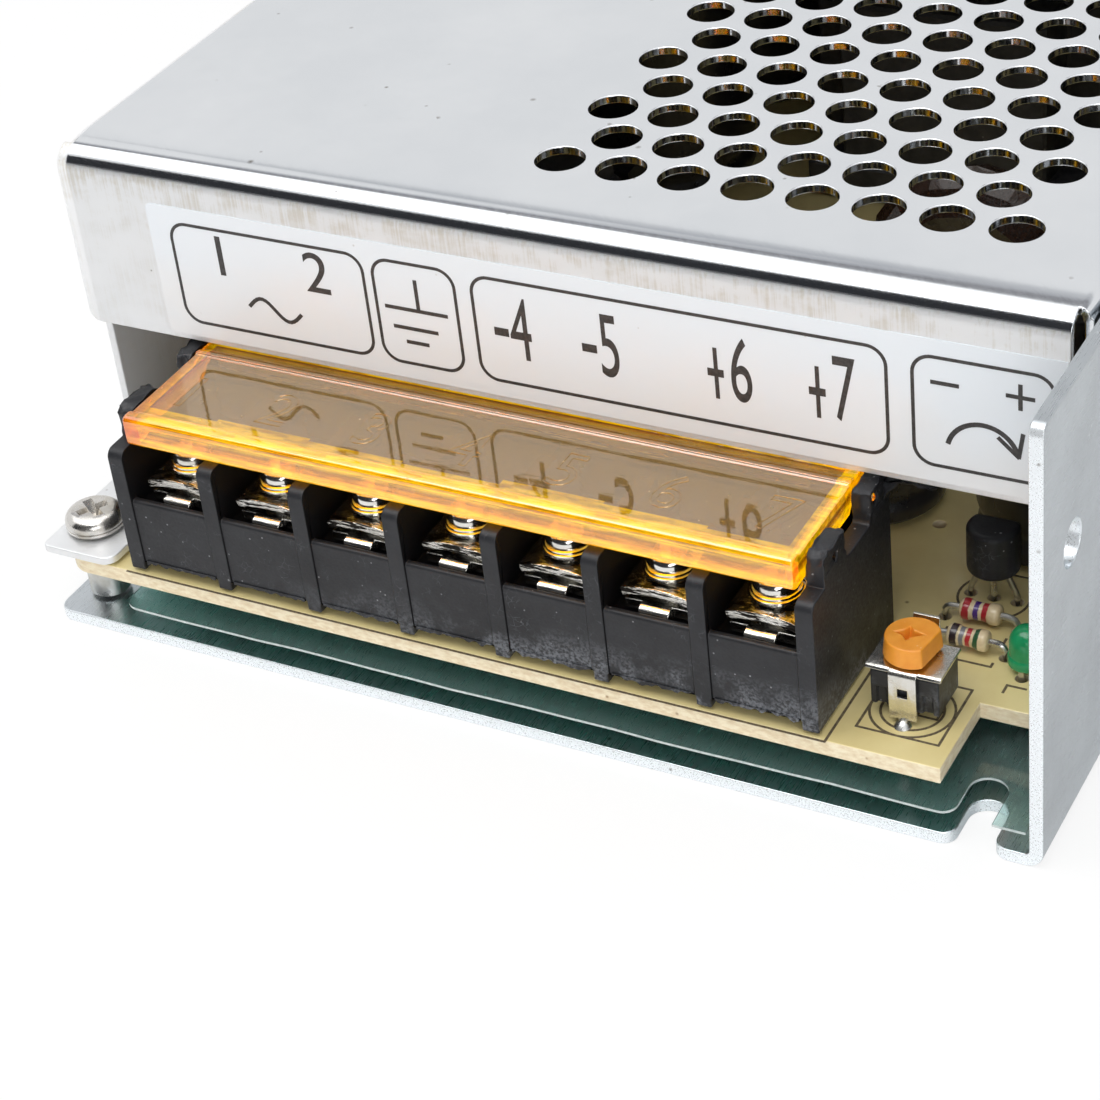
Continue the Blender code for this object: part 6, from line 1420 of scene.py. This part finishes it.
FERRITE = plain_finish("ferrite", (0.060, 0.060, 0.065), (0.035, 0.035, 0.038), 0.55)
TAPE = plain_finish("yellow_tape", (0.78, 0.58, 0.10), (0.62, 0.43, 0.06), 0.35, stretch=(0.4, 0.4, 2.0))
ENAMEL = plain_finish("copper_enamel", (0.05, 0.022, 0.012), (0.02, 0.010, 0.006), 0.25, 0, (2.5, 0.4, 2.5), 0.0001, Coat_Weight=0.6)
CLIP_METAL = plain_finish("clip_metal", (0.74, 0.74, 0.73), (0.60, 0.60, 0.58), 0.28, 1)
INSIDE = (
    ("transformer", FERRITE), ("line_choke", FERRITE), ("film_capacitor", TAPE), ("output_choke", ENAMEL),
    ("fuse", CLIP_METAL), ("clamp_bar", CLIP_METAL), ("bridge_rectifier", BLACK), ("output_diode", BLACK),
    ("power_transistor", BLACK),
)
for node, finish in INSIDE:
    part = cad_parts[node]
    if not part.material_slots:
        part.data.materials.append(finish)
    for material_slot in part.material_slots:
        material_slot.material = finish

low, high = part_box("clamp_screw")
bar_bore = high.x - low.x - SCREW_HEAD_HEIGHT
screw = new_piece(pan_head(bar_bore), "bar_screw", TINNED, "case", "tinned_metal", "clamp_screw")
carve(screw, cross_tool(CROSS_REACH, CROSS_REACH, CROSS_WIDTH / 2, 0.0006, 0.0021, 0.3, 0.35))
turn = Matrix.Rotation(-math.pi / 2, 4, "Y")
screw.data.transform(Matrix.Translation((low.x + SCREW_HEAD_HEIGHT, (low.y + high.y) / 2, (low.z + high.z) / 2)) @ turn)


# Cover. One 0.8 mm sheet of plated steel, perforated, folded into the top, the left wall, the
# rear wall and short front and right flanges, with foot tabs under the board screws.
CASE_LEFT = -0.049
CASE_TOP = 0.042
COVER_SHEET = 0.0008
COVER_BEND = 0.0012
COVER_FRONT = -0.0647
COVER_RIGHT = 0.0471
FRONT_ROUND = 0.0018
SOFT_ANGLE = math.radians(10)
SOFT_RADIUS = 0.018
FLANGE_BOTTOM = 0.024
TAB_LEVEL = 0.0077
VENT_DIAMETER = 0.0044
VENT_PITCH = 0.00584


def plated_finish():
    finish, tree, shader = new_finish("plated_steel", (0.74, 0.74, 0.75), 0.2, 1)
    place = in_millimetres(tree)
    lines = shader_node(tree, "Mapping", {"Vector": place, "Rotation": (0, 0, math.radians(38))}).outputs[0]
    rolled = effect(tree, GRAIN, Vector=lines, Stretch=(0.25, 7.0, 7.0), Detail=4.0)
    clouds = effect(tree, GRAIN, Vector=place, Stretch=(0.06, 0.06, 0.06), Detail=4.0)
    stains = effect(tree, GRAIN, Vector=place, Stretch=(0.30, 0.30, 0.45), Detail=6.0)
    dirt = effect(tree, SPECKS, Vector=place, Size=1.1, Amount=0.03)
    parts = shader_node(tree, "SeparateXYZ", {0: place})
    front = calculated(tree, "MULTIPLY", ranged(tree, parts.outputs["Y"], -64.45, -64.60), ranged(tree, parts.outputs["Z"], 40.7, 40.4))
    # Painted light: the left wall, which stands in shade under the flange, gets a brighter, mostly non-metallic copy of
    # the plated finish.
    left = ranged(tree, parts.outputs["X"], -47.9, -48.1)
    uprights = effect(tree, GRAIN, Vector=place, Stretch=(4.0, 4.0, 0.12), Detail=3.0)
    # Dull joins the front flange's dull finish with the left wall's painted light.
    dull = calculated(tree, "MAXIMUM", front, left)
    bright = blended(tree, ranged(tree, clouds, 0.35, 0.7), (0.76, 0.785, 0.815), (0.82, 0.84, 0.865))
    high = ranged(tree, parts.outputs["Z"], 34.0, 40.0, 0.25, 1.0)
    dull_marks = calculated(tree, "MULTIPLY", ranged(tree, calculated(tree, "MULTIPLY", stains, ranged(tree, uprights, 0.35, 0.65, 0.75, 1.2)), 0.46, 0.70), high)
    stained = blended(tree, dull_marks, (0.85, 0.86, 0.87), (0.72, 0.70, 0.65))
    metal = blended(tree, dull, bright, stained)
    set_input(tree, shader, "Base Color", blended(tree, dirt, metal, (0.22, 0.20, 0.17)))
    lost = calculated(tree, "ADD", calculated(tree, "MULTIPLY", front, 0.4), calculated(tree, "MULTIPLY", left, 0.85))
    set_input(tree, shader, "Metallic", calculated(tree, "SUBTRACT", 1.0, lost))
    polished = ranged(tree, rolled, 0.3, 0.7, 0.09, 0.15)
    satin = ranged(tree, stains, 0.3, 0.7, 0.34, 0.52)
    smooth = calculated(tree, "MULTIPLY", polished, ranged(tree, dull, 0.0, 1.0, 1.0, 0.0))
    set_input(tree, shader, "Roughness", calculated(tree, "ADD", smooth, calculated(tree, "MULTIPLY", satin, dull)))
    raised(tree, shader, rolled, 0.0000035)
    return finish


def between(edges, axis, low, high):
    """The edges whose middles lie between two places on an axis."""
    return [edge for edge in edges if low < (edge.verts[0].co[axis] + edge.verts[1].co[axis]) / 2 < high]


def cover_sheet():
    """The folded sheet. Its front bend starts softly, because a broad tool rolled it over."""
    soft_drop = SOFT_RADIUS * (1 - math.cos(SOFT_ANGLE))
    front_y = COVER_FRONT + FRONT_ROUND
    tight = FRONT_ROUND / (1 - math.sin(SOFT_ANGLE))
    low = (CASE_LEFT + COVER_BEND, front_y + SOFT_RADIUS * math.sin(SOFT_ANGLE))
    high = (COVER_RIGHT - COVER_BEND, CASE_REAR - COVER_BEND)
    bend_z = CASE_TOP - COVER_BEND
    slits = [COVER_FRONT + 0.0080, COVER_FRONT + 0.0086, high[1] - 0.0074, high[1] - 0.0068]
    bm = flat_sheet(low, high, CASE_TOP)
    for y in slits:
        geometry = bm.verts[:] + bm.edges[:] + bm.faces[:]
        bmesh.ops.bisect_plane(bm, geom=geometry, plane_co=(0, y, 0), plane_no=(0, 1, 0), dist=0.000001)
    soft = fold(bm, border(bm, 1, low[1]), (0, low[1], CASE_TOP - SOFT_RADIUS), (1, 0, 0), SOFT_ANGLE, 6)
    front_centre = (0, front_y + tight * math.sin(SOFT_ANGLE), CASE_TOP - soft_drop - tight * math.cos(SOFT_ANGLE))
    ends = {
        "rear": fold(bm, border(bm, 1, high[1]), (0, high[1], bend_z), (-1, 0, 0), math.pi / 2),
        "right": fold(bm, border(bm, 0, high[0]), (high[0], 0, bend_z), (0, 1, 0), math.pi / 2),
        "left": fold(bm, border(bm, 0, low[0]), (low[0], 0, bend_z), (0, -1, 0), math.pi / 2),
        "front": fold(bm, soft, front_centre, (1, 0, 0), math.pi / 2 - SOFT_ANGLE, 12),
    }
    for side, x in (("left", CASE_LEFT), ("right", COVER_RIGHT)):
        for edge in ends[side]:
            for vert in edge.verts:
                vert.co.x = x
    pull(bm, ends["right"], (0, 0, COVER_BEND - 0.012))
    pull(bm, ends["front"], (0, 0, FLANGE_BOTTOM - front_centre[2]))
    pull(bm, ends["rear"], (0, 0, 0.0015 - bend_z))
    sides = [edge for edge in border(bm, 0, low[0]) if edge.verts[0].co.z < bend_z and edge.verts[1].co.z < bend_z]
    sides += [edge for edge in between(border(bm, 0, low[0]), 1, COVER_FRONT - 0.001, front_y) if edge not in sides]
    pull(bm, sides, (-COVER_BEND, 0, 0))
    round_corner(bm, (CASE_LEFT, COVER_FRONT, FLANGE_BOTTOM), 0.0011)
    slit_top = TAB_LEVEL + COVER_SHEET + 0.003
    upper = pull(bm, ends["left"], (0, 0, slit_top - bend_z))
    pull(bm, between(upper, 1, slits[1], slits[2]), (0, 0, 0.0003 - slit_top))
    tab_bend = 0.0011
    drop = TAB_LEVEL + tab_bend - slit_top
    inner = CASE_LEFT + tab_bend
    for start, end, reach in ((front_y, slits[0], front_y - CASE_FRONT), (slits[3], high[1], 0)):
        strip = pull(bm, between(upper, 1, start, end), (0, 0, drop))
        bent = fold(bm, strip, (inner, 0, TAB_LEVEL + tab_bend), (0, -1, 0), math.pi / 2)
        pull(bm, bent, (0.0089 - tab_bend, 0, 0))
        if reach:
            side = [edge for edge in border(bm, 1, front_y) if all(abs(vert.co.z - TAB_LEVEL) < 0.000001 for vert in edge.verts)]
            pull(bm, side, (0, -reach, 0))
            round_corner(bm, (inner, CASE_FRONT, TAB_LEVEL), 0.0007)
            round_corner(bm, (CASE_LEFT + 0.0089, CASE_FRONT, TAB_LEVEL), 0.0014)
    return thickened(bm, (0, 0, 1), COVER_SHEET)


PLATED = plated_finish()
cover = new_piece(cover_sheet(), "cover_sheet", PLATED, "case", "plated_steel", "top_cover")
vents = bmesh.new()
row_pitch = VENT_PITCH * math.sin(math.pi / 3)
for row in range(10):
    stagger = row % 2
    for column in range(8 - stagger):
        x = 0.0375 - (column + stagger / 2) * VENT_PITCH
        rod(vents, (x, -0.05335 + row * row_pitch, CASE_TOP), VENT_DIAMETER, 0.005, facets=32)
for x, y, seat in STANDOFFS:
    if seat > 0.008:
        rod(vents, (x, y, TAB_LEVEL), 0.0036, 0.005)
for y in (-0.0345, 0.0495):
    rod(vents, (COVER_RIGHT, y, 0.0355), 0.0036, 0.005, "X")
carve(cover, vents)
ease_edges(cover, 0.00014)


# Cover screws. Countersunk cross-head screws, plated, that lie flush with the right wall and hold
# the cover's right flange.
for number, y in enumerate((-0.0345, 0.0495), 1):
    shape = [(0, 0), (0.00272, 0), (0.0028, -0.00008), (0.0015, -0.0012)]
    height = -0.0012
    while height > -0.0040:
        shape += [(0.0015, height), (0.0013, height - 0.00025)]
        height -= 0.0005
    screw = new_piece(spun(shape + [(0.0011, -0.0045), (0, -0.0045)]), f"flush_screw_{number}", TINNED, "case", "tinned_metal", f"cover_screw_{number}")
    carve(screw, cross_tool(0.0015, 0.0015, 0.00035, -0.0009, 0.0004, math.radians(30 * number), 0.4))
    screw.data.transform(Matrix.Translation((CASE_RIGHT, y, 0.0355)) @ Matrix.Rotation(math.pi / 2, 4, "Y"))


# Front label. A thin satin film on the front flange. Plain numbers and signs are printed on it, in
# boxes: the alternating side, earth, the two poles of the output, and the trimmer.
LABEL_FACE = COVER_FRONT - 0.00008
LABEL_INK = 0.00002


def label_finish():
    finish, tree, shader = new_finish("label_film", (0.74, 0.78, 0.82), 0.35, 0, Coat_Weight=0.3, Coat_Roughness=0.25)
    place = in_millimetres(tree)
    clouds = effect(tree, GRAIN, Vector=place, Stretch=(0.08, 0.08, 0.12), Detail=3.0)
    dust = effect(tree, SPECKS, Vector=place, Size=1.0, Amount=0.02)
    parts = shader_node(tree, "SeparateXYZ", {0: place})
    # Painted light: the label is tinted bluish near its top and warm near its bottom, as light from above and from the
    # amber lid below falls on it.
    warm_painted_tint = ranged(tree, calculated(tree, "ADD", parts.outputs["Z"], ranged(tree, clouds, 0.3, 0.7, -3.0, 3.0)), 33.0, 22.0)
    tone = blended(tree, warm_painted_tint, (0.80, 0.845, 0.89), (0.83, 0.825, 0.82))
    set_input(tree, shader, "Base Color", blended(tree, dust, tone, (0.45, 0.42, 0.38)))
    set_input(tree, shader, "Roughness", ranged(tree, clouds, 0.3, 0.7, 0.28, 0.42))
    raised(tree, shader, clouds, 0.00004)
    return finish


def label_ink_finish():
    finish, tree, shader = new_finish("label_ink", (0.035, 0.033, 0.033), 0.45)
    wear = effect(tree, GRAIN, Vector=in_millimetres(tree), Stretch=(2.5, 2.5, 2.5), Detail=4.0)
    set_input(tree, shader, "Base Color", blended(tree, ranged(tree, wear, 0.4, 0.75), (0.030, 0.028, 0.028), (0.075, 0.07, 0.068)))
    return finish


def on_label(x, z):
    """A place on the label, in millimetres from the terminal block's corner."""
    return (BLOCK.x + x / MILLIMETRES, BLOCK.z + z / MILLIMETRES)


def stroke(bm, points, width):
    """Adds a printed line through points, with square ends."""
    for first, second in zip(points, points[1:]):
        x0, z0 = on_label(*first)
        x1, z1 = on_label(*second)
        length = math.hypot(x1 - x0, z1 - z0)
        depth = LABEL_INK * (1 + len(bm.verts) / 4000)
        place = Matrix.Translation(((x0 + x1) / 2, LABEL_FACE - depth / 2, (z0 + z1) / 2))
        turn = Matrix.Rotation(-math.atan2(z1 - z0, x1 - x0), 4, "Y")
        size = Matrix.Diagonal((length + width * 0.5, depth, width, 1))
        bmesh.ops.create_cube(bm, size=1, matrix=place @ turn @ size)


def rounded_box(left, right, low=18.8, high=28.9, corner=1.7):
    points = arc((right - corner, high - corner), corner, 90, 0, 10) + arc((right - corner, low + corner), corner, 0, -90, 10)
    points += arc((left + corner, low + corner), corner, 270, 180, 10) + arc((left + corner, high - corner), corner, 180, 90, 10)
    return points + [points[0]]


label_left, label_low = on_label(-2.3, 17.2)
label_right, label_high = on_label(83.2, 30.5)
outline = arc((label_left + 0.0006, label_high - 0.0006), 0.0006, 90, 180, 5) + arc((label_left + 0.0006, label_low + 0.0006), 0.0006, 180, 270, 5)
outline += [(label_right, label_low), (label_right, label_high)]
label = new_piece(prism(outline, "Y", LABEL_FACE, 0.00008), "front_label", label_finish(), "case", None)
LINE = 0.30 / MILLIMETRES
print_bm = bmesh.new()
for left, right in ((0.0, 20.0), (21.0, 29.1), (30.8, 68.3), (70.5, 82.2)):
    stroke(print_bm, rounded_box(left, right), LINE)
stroke(print_bm, [(25.2, 27.3), (25.2, 24.3)], LINE * 1.2)
for left, right, z in ((21.9, 28.0, 24.3), (22.5, 26.8, 22.4), (23.6, 25.7, 21.0)):
    stroke(print_bm, [(left, z), (right, z)], LINE * 1.2)
stroke(print_bm, [(7.3 + step * 0.3, 21.6 + 0.95 * math.sin(step * math.pi / 9)) for step in range(19)], LINE * 1.2)
for x in (34.0, 42.4):
    stroke(print_bm, [(x - 1.2, 23.8), (x - 0.2, 23.8)], LINE * 2.6)
for x in (54.4, 63.4):
    stroke(print_bm, [(x - 1.65, 23.7), (x - 0.55, 23.7)], LINE * 2.4)
    stroke(print_bm, [(x - 1.05, 26.0), (x - 1.05, 21.3)], LINE * 1.2)
for x in (73.2, 79.4):
    stroke(print_bm, [(x - 1.1, 26.6), (x + 1.1, 26.6)], LINE * 1.2)
stroke(print_bm, [(79.4, 27.7), (79.4, 25.5)], LINE * 1.2)
stroke(print_bm, arc((76.3, 20.4), 3.0, 165, 15, 24), LINE * 1.4)
stroke(print_bm, [(77.6, 22.5), (79.25, 21.0), (79.6, 23.2)], LINE * 1.2)
LABEL_PRINT = label_ink_finish()
new_piece(print_bm, "label_boxes", LABEL_PRINT, "case", None)
UPRIGHT = Matrix.Rotation(math.pi / 2, 4, "X")
for number, size, x, z, breadth in (
    (1, 5.8, 5.0, 26.05, 1.0), (2, 5.8, 15.1, 26.05, 1.0), (4, 8.8, 35.2, 24.0, 0.5), (5, 8.8, 43.6, 24.0, 0.5),
    (6, 8.8, 55.6, 24.0, 0.5), (7, 8.8, 64.6, 24.0, 0.5),
):
    u, v = on_label(x, z)
    centre = Vector((u, LABEL_FACE - LABEL_INK / 2, v))
    turn = UPRIGHT @ Matrix.Diagonal((breadth, 1, 1, 1))
    bm = lettering(str(number), size / MILLIMETRES, centre, turn, LABEL_INK, "label_number")
    new_piece(bm, f"label_number_{number}", LABEL_PRINT, "case", None)


low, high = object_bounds()
